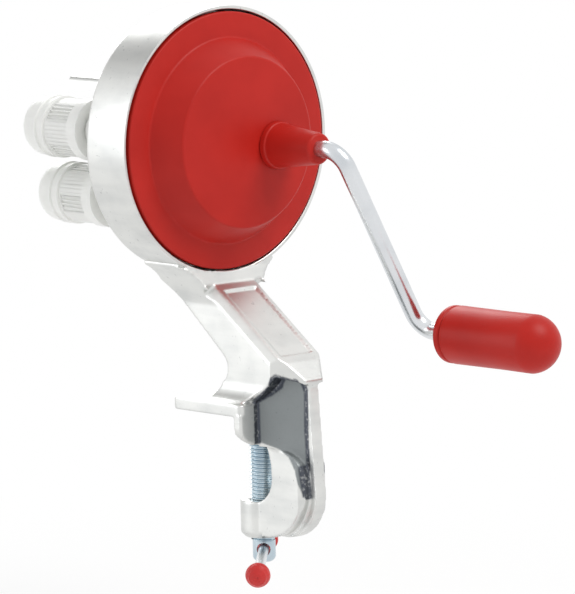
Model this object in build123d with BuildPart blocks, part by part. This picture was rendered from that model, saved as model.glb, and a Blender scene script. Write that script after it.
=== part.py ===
"""Hand cranked pasta roller with a table clamp, as separate pieces in one frame.

Millimetres. +X runs along the crank axis, out of the red cover and away from the table.
+Z is up. The origin is the middle of the clamp shelf's underside, where it rests on a table.
"""

import os
from math import acos, atan2, cos, degrees, hypot, pi, radians, sin, sqrt, tan

from build123d import *

# ---------------------------------------------------------------- driving dimensions

# fits and finish
running_gap = 0.08
slide_gap = 0.3
touch_gap = 0.02

# clamp shelf and throat
shelf_length = 42.0
shelf_width = 48.0
shelf_thick = 5.6
throat_height = 41.4
jaw_thick = 17.5
jaw_chamfer = 2.4
hook_rise = 1.7
throat_depth = 28.5
screw_x = 13.2
jaw_boss_r = 10.5
hook_half = 8.5
column_out_x = 53.2
column_root_half = 12.6
column_nose_half = 2.2
rail_half = 3.0
rail_depth = 4.6
hook_round = 2.2
wall_thick = 4.4
flare_rise = 9.0

# gear housing
axis_height = 123.1
rim_x = -6.5
housing_r = 62.0
housing_depth = 27.0
housing_wall = 2.2
back_wall = 4.0
cover_fit = 0.1
cover_seat = 3.0

# arm
arm_half = 15.0
neck_half = 29.0
nose_start_x = 36.5
arm_split_z = 44.0
panel_half = 12.6
panel_bevel = 3.9

# red cover
cover_wall = 2.2
dome_outer_r = 47.5
dome_inner_r = 39.4
dome_rise = 14.0

# crank
crank_y = 18.0
crank_drop = 2.8
crank_radius = 98.0
crank_turn = 27.6
rod_r = 4.0
rod_bend_r = 9.8
hub_length = 28.8
hub_base_r = 11.2
hub_tip_r = 7.25
elbow_reach = 42.2
grip_reach = 3.3
grip_start = 20.8

# grip
grip_r = 13.5
grip_length = 65.0
grip_dome = 11.5
grip_ring = 4.0
grip_groove = 0.8
grip_cavity_r = 9.5
plug_length = 25.0

# gears
module = 1.25
gear_face = 7.5
gear_seat = 0.6
gear_shortening = 0.12
backlash = 0.28
pinion_teeth = 14
counter_large_teeth = 40
counter_small_teeth = 16
roller_teeth = 26

# feed rollers
upper_roller_y = -41.0
upper_roller_rise = 5.9
roller_tilt = -75.84
roller_r = 14.4
roller_reach = 57.6
roller_length = 42.8
roller_shaft_r = 4.0
bush_wall = 2.5
boss_length = 14.0
bush_shoulder = 3.0

# forming chamber behind the housing
rotor_r = 24.0
rotor_width = 22.0
hood_gap = 3.0
hood_wall = 3.5
hood_length = 53.0
hood_lip_y = -26.0
hood_lip_drop = 6.0

# clamp screw
screw_r = 6.0
screw_head_r = 5.3
tommy_hole_r = 3.2
tommy_r = 2.4
tommy_z = -64.1
tommy_turn = -45.8
tommy_tilt = 5.4
tommy_length = 61.5
knob_r = 5.75
foot_r = 7.2
foot_thick = 3.2
foot_gap = 2.3

# ---------------------------------------------------------------- derived places

seat_back_x = shelf_length / 2
seat_front_x = -shelf_length / 2
jaw_top_z = -throat_height
jaw_bottom_z = -throat_height - jaw_thick
throat_back_x = throat_depth
back_x = rim_x - housing_depth
inner_back_x = back_x + back_wall
cavity_r = housing_r - housing_wall
cover_r = cavity_r - cover_fit
crank_z = axis_height - crank_drop
upper_roller_z = axis_height + upper_roller_rise
roller_spacing = module * roller_teeth
lower_roller_y = upper_roller_y + roller_spacing * cos(radians(roller_tilt))
lower_roller_z = upper_roller_z + roller_spacing * sin(radians(roller_tilt))

rear_gears_x = inner_back_x + 1.0
front_gears_x = rear_gears_x + gear_face + 1.0

cover_face_x = rim_x + 0.9
dome_face_x = cover_face_x + dome_rise
hub_x = dome_face_x + slide_gap
hub_tip_x = hub_x + hub_length
elbow_x = hub_x + elbow_reach
grip_x = elbow_x + grip_reach + grip_start
grip_y = crank_y + crank_radius * sin(radians(crank_turn))
grip_z = crank_z - crank_radius * cos(radians(crank_turn))
plug_end_x = grip_x + grip_ring + plug_length

roller_tip_x = back_x - roller_reach
rotor_x = roller_tip_x + 13.6
boss_x = back_x - boss_length


def meshed_centre(a, b, reach_a, reach_b, side):
    """The point at reach_a from a and reach_b from b, on the chosen side of the line a-b."""
    span = hypot(b[0] - a[0], b[1] - a[1])
    along = (reach_a**2 - reach_b**2 + span**2) / (2 * span)
    across = side * sqrt(reach_a**2 - along**2)
    ux = (b[0] - a[0]) / span
    uy = (b[1] - a[1]) / span
    return (a[0] + ux * along - uy * across, a[1] + uy * along + ux * across)


crank_point = (crank_y, crank_z)
lower_point = (lower_roller_y, lower_roller_z)
upper_point = (upper_roller_y, upper_roller_z)
counter_point = meshed_centre(
    crank_point,
    lower_point,
    module * (pinion_teeth + counter_large_teeth) / 2,
    module * (counter_small_teeth + roller_teeth) / 2,
    1,
)
counter_y, counter_z = counter_point


def face_plane(x, y=0.0, z=axis_height):
    """A plane square to the crank axis: its local x is +Y and its local y is +Z."""
    return Plane(origin=(x, y, z), x_dir=(0, 1, 0), z_dir=(1, 0, 0))


def turning_plane(y, z):
    """A plane through an axis along X: its local x is +X and its local y is +Z."""
    return Plane(origin=(0, y, z), x_dir=(1, 0, 0), z_dir=(0, -1, 0))


def turning_axis(y, z):
    """An axis along X through y, z."""
    return Axis((0, y, z), (1, 0, 0))


def finish(builder, name):
    """Label the sub-part and write its file."""
    builder.part.label = name
    export_step(builder.part, f"parts/{name}.step")
    print(name, len(builder.part.solids()), round(builder.part.volume))


os.makedirs("parts", exist_ok=True)

# ---------------------------------------------------------------- gears


def involute(pressure):
    """The involute function of a pressure angle in radians."""
    return tan(pressure) - pressure


def gear_points(teeth, phase):
    """The outline of a spur gear, with a tooth centred on the phase angle in radians."""
    pitch_r = module * teeth / 2
    base_r = pitch_r * cos(radians(20))
    tip_r = pitch_r + module - gear_shortening
    root_r = pitch_r - 1.25 * module
    start_r = max(base_r, root_r + 0.05)
    half_tooth = pi / (2 * teeth) - backlash / (4 * pitch_r)
    flank = []
    for step in range(3):
        radius = start_r + (tip_r - start_r) * step / 2
        pressure = acos(min(1.0, base_r / radius))
        flank.append((radius, half_tooth + involute(radians(20)) - involute(pressure)))
    outline = []
    for tooth in range(teeth):
        middle = phase + 2 * pi * tooth / teeth
        polar = [(root_r, middle - flank[0][1])]
        polar += [(radius, middle - offset) for radius, offset in flank]
        polar += [(radius, middle + offset) for radius, offset in reversed(flank)]
        polar += [(root_r, middle + flank[0][1])]
        outline += [(radius * cos(angle), radius * sin(angle)) for radius, angle in polar]
    return outline


def line_angle(a, b):
    """The direction from a to b, in radians."""
    return atan2(b[1] - a[1], b[0] - a[0])


def meshed_phase(a, teeth_a, phase_a, b, teeth_b):
    """The phase of gear b that puts its gap on the tooth that gear a holds out to it."""
    towards = line_angle(a, b)
    place = (towards - phase_a) * teeth_a / (2 * pi)
    return towards + pi - (0.5 - place) * 2 * pi / teeth_b


pinion_phase = 0.0
counter_large_phase = meshed_phase(
    crank_point, pinion_teeth, pinion_phase, counter_point, counter_large_teeth
)
counter_small_phase = 0.0
lower_gear_phase = meshed_phase(
    counter_point, counter_small_teeth, counter_small_phase, lower_point, roller_teeth
)
upper_gear_phase = meshed_phase(
    lower_point, roller_teeth, lower_gear_phase, upper_point, roller_teeth
)

# ---------------------------------------------------------------- body casting

shelf_top_z = shelf_thick
wall_back_x = seat_back_x + wall_thick
bevel_half = arm_half - panel_half

# the arm's outline from the side: its top hangs from the drum, its foot stands on the shelf
drum_low_z = axis_height - housing_r
arm_panel_top = (rim_x + 3.5, drum_low_z - 3.3)
arm_panel_low = (column_out_x - 10.8, 25.2)
arm_nose = (column_out_x - 3.4, 17.2)
arm_nose_low = (column_out_x - 3.4, 15.0)
arm_back_top = (back_x + 8.6, drum_low_z - 10.0)
arm_back_low = (4.7, 26.2)
arm_heel = (7.4, 20.5)
arm_heel_low = (3.5, 13.4)
arm_toe_mid = (0.8, 8.9)
arm_toe = (-8.0, shelf_top_z)
under_corner = (column_out_x - 15.4, 18.4)
under_mid = (column_out_x - 21.6, 10.9)
under_root = (seat_back_x + 2.0, 4.6)
neck_high = (neck_half, drum_low_z + 5.5)
neck_bend = (19.4, drum_low_z - 2.4)
neck_low = (arm_half, drum_low_z - 12.0)

# the throat from the side: down the seat's wall, round the hook and out along the jaw
throat_top = (seat_back_x, -8.0)
throat_mid = (throat_back_x - 1.6, -18.5)
throat_side = (throat_back_x, -28.5)
throat_low = (throat_back_x - 3.2, jaw_top_z + 3.8)
throat_end = (screw_x + 5.8, jaw_top_z)

# the hook's face and the rail round it
hook_bottom_z = jaw_bottom_z + hook_rise
hook_out_x = column_out_x - rail_depth
hook_crown = (28.0, -14.4)
hook_shoulder = (36.0, -16.0)
hook_corner = (hook_out_x - 3.3, -20.2)
hook_side_high = (hook_out_x, -28.0)
hook_side_low = (hook_out_x, jaw_top_z + 3.4)
hook_belly = (hook_out_x - 7.0, jaw_bottom_z + 8.4)
hook_keel = (screw_x + 11.4, hook_bottom_z)
rail_low = (column_out_x, jaw_top_z + 6.6)
rail_corner = (column_out_x - 6.0, hook_bottom_z + 6.8)
rail_keel = (screw_x + 16.0, hook_bottom_z + 0.2)


def throat_edge():
    """The throat's edge in the side view, from the seat's wall to the jaw."""
    ThreePointArc(throat_top, throat_mid, throat_side)
    ThreePointArc(throat_side, throat_low, throat_end)


with BuildPart() as arm_block:
    with BuildSketch(Plane.XZ):
        with BuildLine():
            Polyline((rim_x + 0.3, drum_low_z + 5), arm_panel_top, arm_panel_low, arm_nose, arm_nose_low)
            Polyline(arm_nose_low, (arm_nose_low[0] - 3.0, arm_nose_low[1] + 1.4), under_corner)
            ThreePointArc(under_corner, under_mid, under_root)
            Polyline(under_root, (0, shelf_top_z - 1), (arm_toe[0], shelf_top_z - 1), arm_toe)
            ThreePointArc(arm_toe, arm_toe_mid, arm_heel_low)
            ThreePointArc(arm_heel_low, arm_heel, arm_back_low)
            Polyline(
                arm_back_low,
                arm_back_top,
                (back_x + 1, drum_low_z - 3),
                (back_x + 1, drum_low_z + 14),
                (rim_x + 0.3, drum_low_z + 5),
            )
        make_face()
    extrude(amount=neck_half, both=True)
    # seen from the front, the arm widens into the neck under the drum
    with BuildSketch(face_plane(back_x - 5, 0, 0)):
        with BuildLine():
            Polyline((-arm_half, neck_low[1]), (-arm_half, -5), (arm_half, -5), neck_low)
            ThreePointArc(neck_low, neck_bend, neck_high)
            Polyline(
                neck_high,
                (neck_half, axis_height),
                (-neck_half, axis_height),
                (-neck_half, neck_high[1]),
            )
            ThreePointArc(
                (-neck_half, neck_high[1]),
                (-neck_bend[0], neck_bend[1]),
                (-arm_half, neck_low[1]),
            )
        make_face()
    extrude(amount=column_out_x - back_x + 5, mode=Mode.INTERSECT)
    # seen from above, its foot narrows to the nose over the rail
    with BuildSketch(Plane.XY.offset(-5)):
        Polygon(
            (back_x - 5, -neck_half),
            (nose_start_x, -neck_half),
            (nose_start_x, -arm_half),
            (column_out_x, -rail_half),
            (column_out_x, rail_half),
            (nose_start_x, arm_half),
            (nose_start_x, neck_half),
            (back_x - 5, neck_half),
            align=None,
        )
    extrude(amount=axis_height, mode=Mode.INTERSECT)
    # the front panel's long edges are bevelled
    panel_run = (arm_panel_low[0] - arm_panel_top[0], 0, arm_panel_low[1] - arm_panel_top[1])
    with BuildSketch(
        Plane(origin=(arm_panel_top[0], 0, arm_panel_top[1]), x_dir=(0, 1, 0), z_dir=panel_run)
    ):
        for side in (-1, 1):
            Polygon(
                (side * panel_half, 0),
                (side * panel_half, 4),
                (side * (arm_half + bevel_half), 4),
                (side * (arm_half + bevel_half), -2 * panel_bevel),
                align=None,
            )
    extrude(amount=2 * column_out_x, mode=Mode.SUBTRACT)

with BuildPart() as web_block:
    # the column's web is a wedge seen from above
    with BuildSketch(Plane.XY.offset(jaw_bottom_z)):
        Polygon(
            (seat_back_x + 1, -column_root_half),
            (wall_back_x, -column_root_half),
            (hook_out_x, -column_nose_half),
            (column_out_x - 1.5, -column_nose_half),
            (column_out_x - 1.5, column_nose_half),
            (hook_out_x, column_nose_half),
            (wall_back_x, column_root_half),
            (seat_back_x + 1, column_root_half),
            align=None,
        )
    extrude(amount=arm_panel_low[1] - jaw_bottom_z)
    with BuildSketch(Plane.XZ):
        with BuildLine():
            Line((seat_back_x, 2.0), (seat_back_x, hook_crown[1] + 0.6))
            Line((seat_back_x, hook_crown[1] + 0.6), hook_shoulder)
            ThreePointArc(hook_shoulder, hook_corner, hook_side_high)
            Line(hook_side_high, hook_side_low)
            Line(hook_side_low, (column_out_x - 1.5, hook_side_low[1]))
            Line((column_out_x - 1.5, hook_side_low[1]), (arm_nose[0] - 1.5, arm_nose[1] - 1))
            Line((arm_nose[0] - 1.5, arm_nose[1] - 1), under_corner)
            Line(under_corner, (seat_back_x + 3, 8.0))
            Line((seat_back_x + 3, 8.0), (seat_back_x, 2.0))
        make_face()
    extrude(amount=column_root_half + 5, both=True, mode=Mode.INTERSECT)

with BuildPart() as hook_block:
    with BuildSketch(Plane.XZ):
        with BuildLine():
            throat_edge()
            Polyline(throat_end, (screw_x, jaw_top_z), (screw_x, jaw_bottom_z))
            Polyline(
                (screw_x, jaw_bottom_z),
                (screw_x + jaw_boss_r - jaw_chamfer - 1.5, jaw_bottom_z),
                (screw_x + jaw_boss_r - jaw_chamfer + 0.5, hook_bottom_z),
                hook_keel,
            )
            ThreePointArc(hook_keel, hook_belly, hook_side_low)
            Line(hook_side_low, hook_side_high)
            ThreePointArc(hook_side_high, hook_corner, hook_shoulder)
            Polyline(hook_shoulder, hook_crown, throat_top)
        make_face()
    extrude(amount=hook_half, both=True)
    # seen from above, the hook's outer corners are cut back
    with BuildSketch(Plane.XY.offset(jaw_bottom_z - 1)):
        Polygon(
            (screw_x - 1, -hook_half - 1),
            (hook_out_x - hook_round - 1, -hook_half - 1),
            (hook_out_x - hook_round, -hook_half),
            (hook_out_x, -hook_half + hook_round),
            (hook_out_x, hook_half - hook_round),
            (hook_out_x - hook_round, hook_half),
            (hook_out_x - hook_round - 1, hook_half + 1),
            (screw_x - 1, hook_half + 1),
            align=None,
        )
    extrude(amount=jaw_thick + throat_height + 5, mode=Mode.INTERSECT)

with BuildPart() as rail_block:
    # the rail runs down the column's outer edge and under the hook
    with BuildSketch(Plane.XZ):
        with BuildLine():
            Polyline((column_out_x - 8, arm_nose[1] + 1), (arm_nose[0] - 0.6, arm_nose[1] - 1), rail_low)
            ThreePointArc(rail_low, rail_corner, rail_keel)
            Polyline(
                rail_keel,
                (throat_back_x + 6, hook_bottom_z + 6),
                (column_out_x - 8, jaw_top_z),
                (column_out_x - 8, arm_nose[1] + 1),
            )
        make_face()
    extrude(amount=rail_half, both=True)

with BuildPart() as flare_block:
    # hollow flares carry the arm's sides out to the shelf's edges
    with BuildSketch(face_plane(arm_toe[0], 0, 0)):
        with BuildLine():
            Polyline(
                (-shelf_width / 2, shelf_top_z),
                (-shelf_width / 2, shelf_top_z - 1),
                (shelf_width / 2, shelf_top_z - 1),
                (shelf_width / 2, shelf_top_z),
            )
            RadiusArc((shelf_width / 2, shelf_top_z), (arm_half, shelf_top_z + flare_rise), flare_rise)
            Line((arm_half, shelf_top_z + flare_rise), (-arm_half, shelf_top_z + flare_rise))
            RadiusArc((-arm_half, shelf_top_z + flare_rise), (-shelf_width / 2, shelf_top_z), flare_rise)
        make_face()
    extrude(amount=under_corner[0] - arm_toe[0])
    with BuildSketch(Plane.XZ):
        with BuildLine():
            Polyline((arm_toe[0], shelf_top_z - 1), arm_toe)
            ThreePointArc(arm_toe, arm_toe_mid, arm_heel_low)
            Polyline(
                arm_heel_low,
                (arm_heel_low[0] + 1, shelf_top_z + flare_rise),
                (seat_back_x + 12.2, shelf_top_z + flare_rise),
                (seat_back_x + 1.2, shelf_top_z + 0.2),
                (seat_back_x + 1.2, shelf_top_z - 1),
                (arm_toe[0], shelf_top_z - 1),
            )
        make_face()
    extrude(amount=shelf_width, both=True, mode=Mode.INTERSECT)

with BuildPart() as casting:
    # gear housing: a drum with a plain back
    with BuildSketch(face_plane(back_x)):
        Circle(housing_r)
    extrude(amount=housing_depth)
    add(arm_block.part)
    add(web_block.part)
    add(hook_block.part)
    add(rail_block.part)
    add(flare_block.part)
    # shelf that lies on the table
    with BuildSketch(Plane.XY):
        with Locations(((seat_front_x + wall_back_x) / 2, 0)):
            RectangleRounded(wall_back_x - seat_front_x, shelf_width, 2.5)
    extrude(amount=shelf_thick)
    # throat wall: as wide as the shelf at its top, drawn in to the hook below
    with BuildSketch(face_plane(seat_back_x, 0, 0)):
        with BuildLine():
            Line((-shelf_width / 2, 1.0), (-shelf_width / 2, -5.5))
            Spline(
                (-shelf_width / 2, -5.5),
                (-18.0, -13.0),
                (-10.6, -18.0),
                (-hook_half, -26.0),
                tangents=((0, -1), (0, -1)),
            )
            Line((-hook_half, -26.0), (hook_half, -26.0))
            Spline(
                (hook_half, -26.0),
                (10.6, -18.0),
                (18.0, -13.0),
                (shelf_width / 2, -5.5),
                tangents=((0, 1), (0, 1)),
            )
            Line((shelf_width / 2, -5.5), (shelf_width / 2, 1.0))
            Line((shelf_width / 2, 1.0), (-shelf_width / 2, 1.0))
        make_face()
    extrude(amount=wall_thick)
    # the throat stays clear in front of the curved wall
    with BuildSketch(Plane.XZ):
        with BuildLine():
            Polyline((-60, -0.001), (seat_back_x, -0.001), throat_top)
            throat_edge()
            Polyline(throat_end, (-60, jaw_top_z), (-60, -0.001))
        make_face()
    extrude(amount=shelf_width, both=True, mode=Mode.SUBTRACT)
    # nut boss at the end of the jaw
    with BuildSketch(Plane.XY.offset(jaw_bottom_z)):
        with Locations((screw_x, 0)):
            Circle(jaw_boss_r)
    extrude(amount=jaw_thick)
    # the boss is chamfered below, so the tommy bar's knobs swing clear
    with BuildSketch(Plane(origin=(screw_x, 0, 0), x_dir=(1, 0, 0), z_dir=(0, -1, 0))):
        Polygon(
            (jaw_boss_r - jaw_chamfer, jaw_bottom_z),
            (jaw_boss_r + 1, jaw_bottom_z + jaw_chamfer + 1),
            (jaw_boss_r + 1, jaw_bottom_z - 1),
            (jaw_boss_r - jaw_chamfer, jaw_bottom_z - 1),
            align=None,
        )
    revolve(axis=Axis((screw_x, 0, 0), (0, 0, 1)), mode=Mode.SUBTRACT)
    # the drum's cavity, with a low seat for the counter gear
    with BuildSketch(face_plane(inner_back_x)):
        Circle(cavity_r)
        with Locations((counter_y, counter_z - axis_height)):
            Circle(7.0, mode=Mode.SUBTRACT)
    extrude(amount=housing_depth, mode=Mode.SUBTRACT)
    with BuildSketch(face_plane(inner_back_x + gear_seat)):
        Circle(cavity_r)
    extrude(amount=housing_depth, mode=Mode.SUBTRACT)
    # bores for the bushes, the counter gear's pin and the clamp screw
    for bore_y, bore_z in (upper_point, lower_point, crank_point):
        with BuildSketch(face_plane(back_x - 1, bore_y, bore_z)):
            Circle(roller_shaft_r + bush_wall + touch_gap)
        extrude(amount=back_wall + 2, mode=Mode.SUBTRACT)
    with BuildSketch(face_plane(back_x - 1, counter_y, counter_z)):
        Circle(roller_shaft_r + touch_gap)
    extrude(amount=back_wall + 4, mode=Mode.SUBTRACT)
    with BuildSketch(Plane.XY.offset(jaw_bottom_z - 1)):
        with Locations((screw_x, 0)):
            Circle(screw_r + running_gap)
    extrude(amount=jaw_thick + 2, mode=Mode.SUBTRACT)

# the casting is kept as two pieces that meet on a level plane across the arm
with BuildPart() as body_casting:
    add(casting.part)
    split(bisect_by=Plane.XY.offset(arm_split_z), keep=Keep.TOP)

finish(body_casting, "body_casting")

with BuildPart() as clamp_casting:
    add(casting.part)
    split(bisect_by=Plane.XY.offset(arm_split_z), keep=Keep.BOTTOM)

finish(clamp_casting, "clamp_casting")

# ---------------------------------------------------------------- gear cover

with BuildPart() as gear_cover:
    with BuildSketch(turning_plane(0, axis_height)):
        with BuildLine():
            Polyline(
                (rim_x - cover_seat + 0.1, cover_r),
                (cover_face_x, cover_r),
                (cover_face_x, dome_outer_r),
                (dome_face_x, dome_inner_r),
                (dome_face_x, 0),
                (dome_face_x - cover_wall, 0),
                (dome_face_x - cover_wall, dome_inner_r - 1.2),
                (cover_face_x - cover_wall, dome_outer_r - 1.2),
                (cover_face_x - cover_wall, cover_r - 2.2),
                (rim_x - cover_seat + 0.1, cover_r - 2.2),
                close=True,
            )
        make_face()
    revolve(axis=turning_axis(0, axis_height))
    with BuildSketch(face_plane(dome_face_x - 10, *crank_point)):
        Circle(hub_base_r - 3.0 + slide_gap)
    extrude(amount=20, mode=Mode.SUBTRACT)

finish(gear_cover, "gear_cover")

# ---------------------------------------------------------------- crank

with BuildPart() as crank_hub:
    with BuildSketch(turning_plane(*crank_point)):
        with BuildLine():
            Polyline(
                (hub_x - cover_wall - 3.0, rod_r + touch_gap),
                (hub_x - cover_wall - 3.0, hub_base_r - 3.0),
                (hub_x, hub_base_r - 3.0),
                (hub_x, hub_base_r),
                (hub_x + 2.6, hub_base_r - 0.3),
                (hub_tip_x - 1.2, hub_tip_r),
                (hub_tip_x, hub_tip_r - 1.0),
                (hub_tip_x, rod_r + touch_gap),
                close=True,
            )
        make_face()
    revolve(axis=turning_axis(*crank_point))

finish(crank_hub, "crank_hub")

rotor_nut_x = rotor_x - 9.0
with BuildPart() as crank_rod:
    with BuildLine() as rod_path:
        FilletPolyline(
            (rotor_nut_x - 2.0, crank_y, crank_z),
            (elbow_x, crank_y, crank_z),
            (elbow_x + grip_reach, grip_y, grip_z),
            (plug_end_x + 4.0, grip_y, grip_z),
            radius=rod_bend_r,
        )
    with BuildSketch(face_plane(rotor_nut_x - 2.0, *crank_point)):
        Circle(rod_r)
    sweep(path=rod_path.line)

finish(crank_rod, "crank_rod")

with BuildPart() as crank_pinion:
    with BuildSketch(face_plane(front_gears_x, *crank_point)):
        Polygon(*gear_points(pinion_teeth, pinion_phase), align=None)
    extrude(amount=gear_face)
    with BuildSketch(face_plane(inner_back_x + gear_seat + slide_gap, *crank_point)):
        Circle(module * pinion_teeth / 2 - 1.7)
    extrude(until=Until.NEXT)
    with BuildSketch(face_plane(front_gears_x + gear_face, *crank_point)):
        Circle(hub_base_r - 4.0)
    extrude(amount=hub_x - cover_wall - 3.0 - front_gears_x - gear_face)
    with BuildSketch(face_plane(back_x, *crank_point)):
        Circle(rod_r + touch_gap)
    extrude(amount=60, mode=Mode.SUBTRACT)

finish(crank_pinion, "crank_pinion")

# ---------------------------------------------------------------- counter gear

with BuildPart() as counter_gear:
    with BuildSketch(face_plane(rear_gears_x, *counter_point)):
        Polygon(*gear_points(counter_small_teeth, counter_small_phase), align=None)
    extrude(amount=gear_face + 1.0)
    with BuildSketch(face_plane(front_gears_x, *counter_point)):
        Polygon(*gear_points(counter_large_teeth, counter_large_phase), align=None)
    extrude(amount=gear_face)
    # the web is thinner than the rim, with round lightening holes
    with BuildSketch(face_plane(front_gears_x + gear_face, *counter_point)):
        Circle(module * counter_large_teeth / 2 - 5.0)
        Circle(8.0, mode=Mode.SUBTRACT)
    extrude(amount=-3.0, mode=Mode.SUBTRACT)
    with BuildSketch(face_plane(front_gears_x, *counter_point)):
        with PolarLocations(15.2, 6):
            Circle(3.2)
    extrude(amount=gear_face, mode=Mode.SUBTRACT)
    with BuildSketch(face_plane(back_x, *counter_point)):
        Circle(roller_shaft_r + running_gap)
    extrude(amount=60, mode=Mode.SUBTRACT)

finish(counter_gear, "counter_gear")

counter_front_x = front_gears_x + gear_face
with BuildPart() as counter_gear_pin:
    with BuildSketch(turning_plane(*counter_point)):
        with BuildLine():
            Polyline(
                (back_x + 0.2, 0),
                (back_x + 0.2, roller_shaft_r),
                (counter_front_x + 0.4, roller_shaft_r),
                (counter_front_x + 0.4, roller_shaft_r - 0.8),
                (counter_front_x + 1.5, roller_shaft_r - 0.8),
                (counter_front_x + 1.5, roller_shaft_r),
                (counter_front_x + 2.6, roller_shaft_r - 0.4),
                (counter_front_x + 2.6, 0),
                close=True,
            )
        make_face()
    revolve(axis=turning_axis(*counter_point))

finish(counter_gear_pin, "counter_gear_pin")


def retaining_ring(x, y, z, groove_r):
    """A snap ring with its open gap, for a groove of radius groove_r."""
    with BuildPart() as ring:
        with BuildSketch(face_plane(x, y, z)):
            Circle(groove_r + 2.6)
            Circle(groove_r + touch_gap, mode=Mode.SUBTRACT)
            with Locations((0, -groove_r - 1.6)):
                Rectangle(3.0, 5.0, mode=Mode.SUBTRACT)
        extrude(amount=0.9)
    return ring


counter_gear_clip = retaining_ring(
    counter_front_x + 0.5, counter_y, counter_z, roller_shaft_r - 0.8
)
finish(counter_gear_clip, "counter_gear_clip")

# ---------------------------------------------------------------- bushes


def shouldered_bush(y, z):
    """A bearing bush pressed into the back plate from behind, with a long shoulder."""
    bush_r = roller_shaft_r + bush_wall
    with BuildPart() as bush:
        with BuildSketch(turning_plane(y, z)):
            with BuildLine():
                Polyline(
                    (boss_x, roller_shaft_r + running_gap),
                    (boss_x, bush_r + bush_shoulder - 1.0),
                    (boss_x + 1.0, bush_r + bush_shoulder),
                    (back_x, bush_r + bush_shoulder),
                    (back_x, bush_r),
                    (inner_back_x + gear_seat, bush_r),
                    (inner_back_x + gear_seat, roller_shaft_r + running_gap),
                    close=True,
                )
            make_face()
        revolve(axis=turning_axis(y, z))
    return bush


for name, point in (
    ("crank_bush", crank_point),
    ("upper_roller_bush", upper_point),
    ("lower_roller_bush", lower_point),
):
    finish(shouldered_bush(*point), name)

# ---------------------------------------------------------------- feed rollers

roller_in_x = roller_tip_x + roller_length


def feed_roller(y, z, pocket_turn):
    """A moulded roller: domed cap, two collars, ribbed barrel with two flats, inner flange."""
    cap_end = roller_tip_x + 13.6
    barrel_start = cap_end + 5.4
    barrel_end = barrel_start + 17.6
    with BuildPart() as roller:
        with BuildSketch(turning_plane(y, z)):
            with BuildLine():
                Line((roller_tip_x, 0), (roller_tip_x, 6.0))
                ThreePointArc(
                    (roller_tip_x, 6.0),
                    (roller_tip_x + 2.1, 10.9),
                    (roller_tip_x + 7.5, roller_r - 0.7),
                )
                Polyline(
                    (roller_tip_x + 7.5, roller_r - 0.7),
                    (cap_end - 1.4, roller_r - 0.4),
                    (cap_end - 0.7, roller_r),
                    (cap_end, roller_r),
                    (cap_end + 0.6, roller_r - 0.7),
                    (barrel_start - 1.4, roller_r - 0.7),
                    (barrel_start - 0.8, roller_r),
                    (barrel_start, roller_r),
                    (barrel_start + 0.4, roller_r - 1.0),
                    (barrel_end - 0.4, roller_r - 1.0),
                    (barrel_end, roller_r),
                    (roller_in_x, roller_r),
                    (roller_in_x, 7.5),
                    (boss_x - slide_gap, 7.5),
                    (boss_x - slide_gap, roller_shaft_r + touch_gap),
                    (roller_tip_x + 8.0, roller_shaft_r + touch_gap),
                    (roller_tip_x + 8.0, 0),
                    (roller_tip_x, 0),
                )
            make_face()
        revolve(axis=turning_axis(y, z))
        # shallow flats along the barrel take the dough
        with BuildSketch(face_plane(barrel_start + 1.6, y, z)):
            with PolarLocations(roller_r + 3.1, 4, start_angle=pocket_turn):
                Rectangle(10.0, 14.0)
        extrude(amount=17.6 - 3.2, mode=Mode.SUBTRACT)
    return roller


def roller_shaft(y, z):
    """A plain shaft with a snap ring groove behind its gear."""
    front_x = rear_gears_x + gear_face + 0.6
    with BuildPart() as shaft:
        with BuildSketch(face_plane(roller_tip_x + 8.2, y, z)):
            Circle(roller_shaft_r)
        extrude(amount=front_x - roller_tip_x - 8.2)
    return shaft


def roller_gear(y, z, phase):
    """A roller's spur gear with its shaft bore."""
    with BuildPart() as gear:
        with BuildSketch(face_plane(rear_gears_x, y, z)):
            Polygon(*gear_points(roller_teeth, phase), align=None)
            Circle(roller_shaft_r + touch_gap, mode=Mode.SUBTRACT)
        extrude(amount=gear_face)
        with BuildSketch(face_plane(rear_gears_x + gear_face, y, z)):
            Circle(module * roller_teeth / 2 - 4.5)
            Circle(7.0, mode=Mode.SUBTRACT)
        extrude(amount=-2.2, mode=Mode.SUBTRACT)
    return gear


for level, point, phase, pocket in (
    ("upper", upper_point, upper_gear_phase, 52.0),
    ("lower", lower_point, lower_gear_phase, 15.0),
):
    finish(feed_roller(*point, pocket), f"{level}_roller")
    finish(roller_shaft(*point), f"{level}_roller_shaft")
    finish(roller_gear(*point, phase), f"{level}_roller_gear")

# ---------------------------------------------------------------- forming chamber

arch_in = rotor_r + hood_gap
arch_out = arch_in + hood_wall
arch_top_z = crank_z + arch_out
hood_end = radians(-32)

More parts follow.
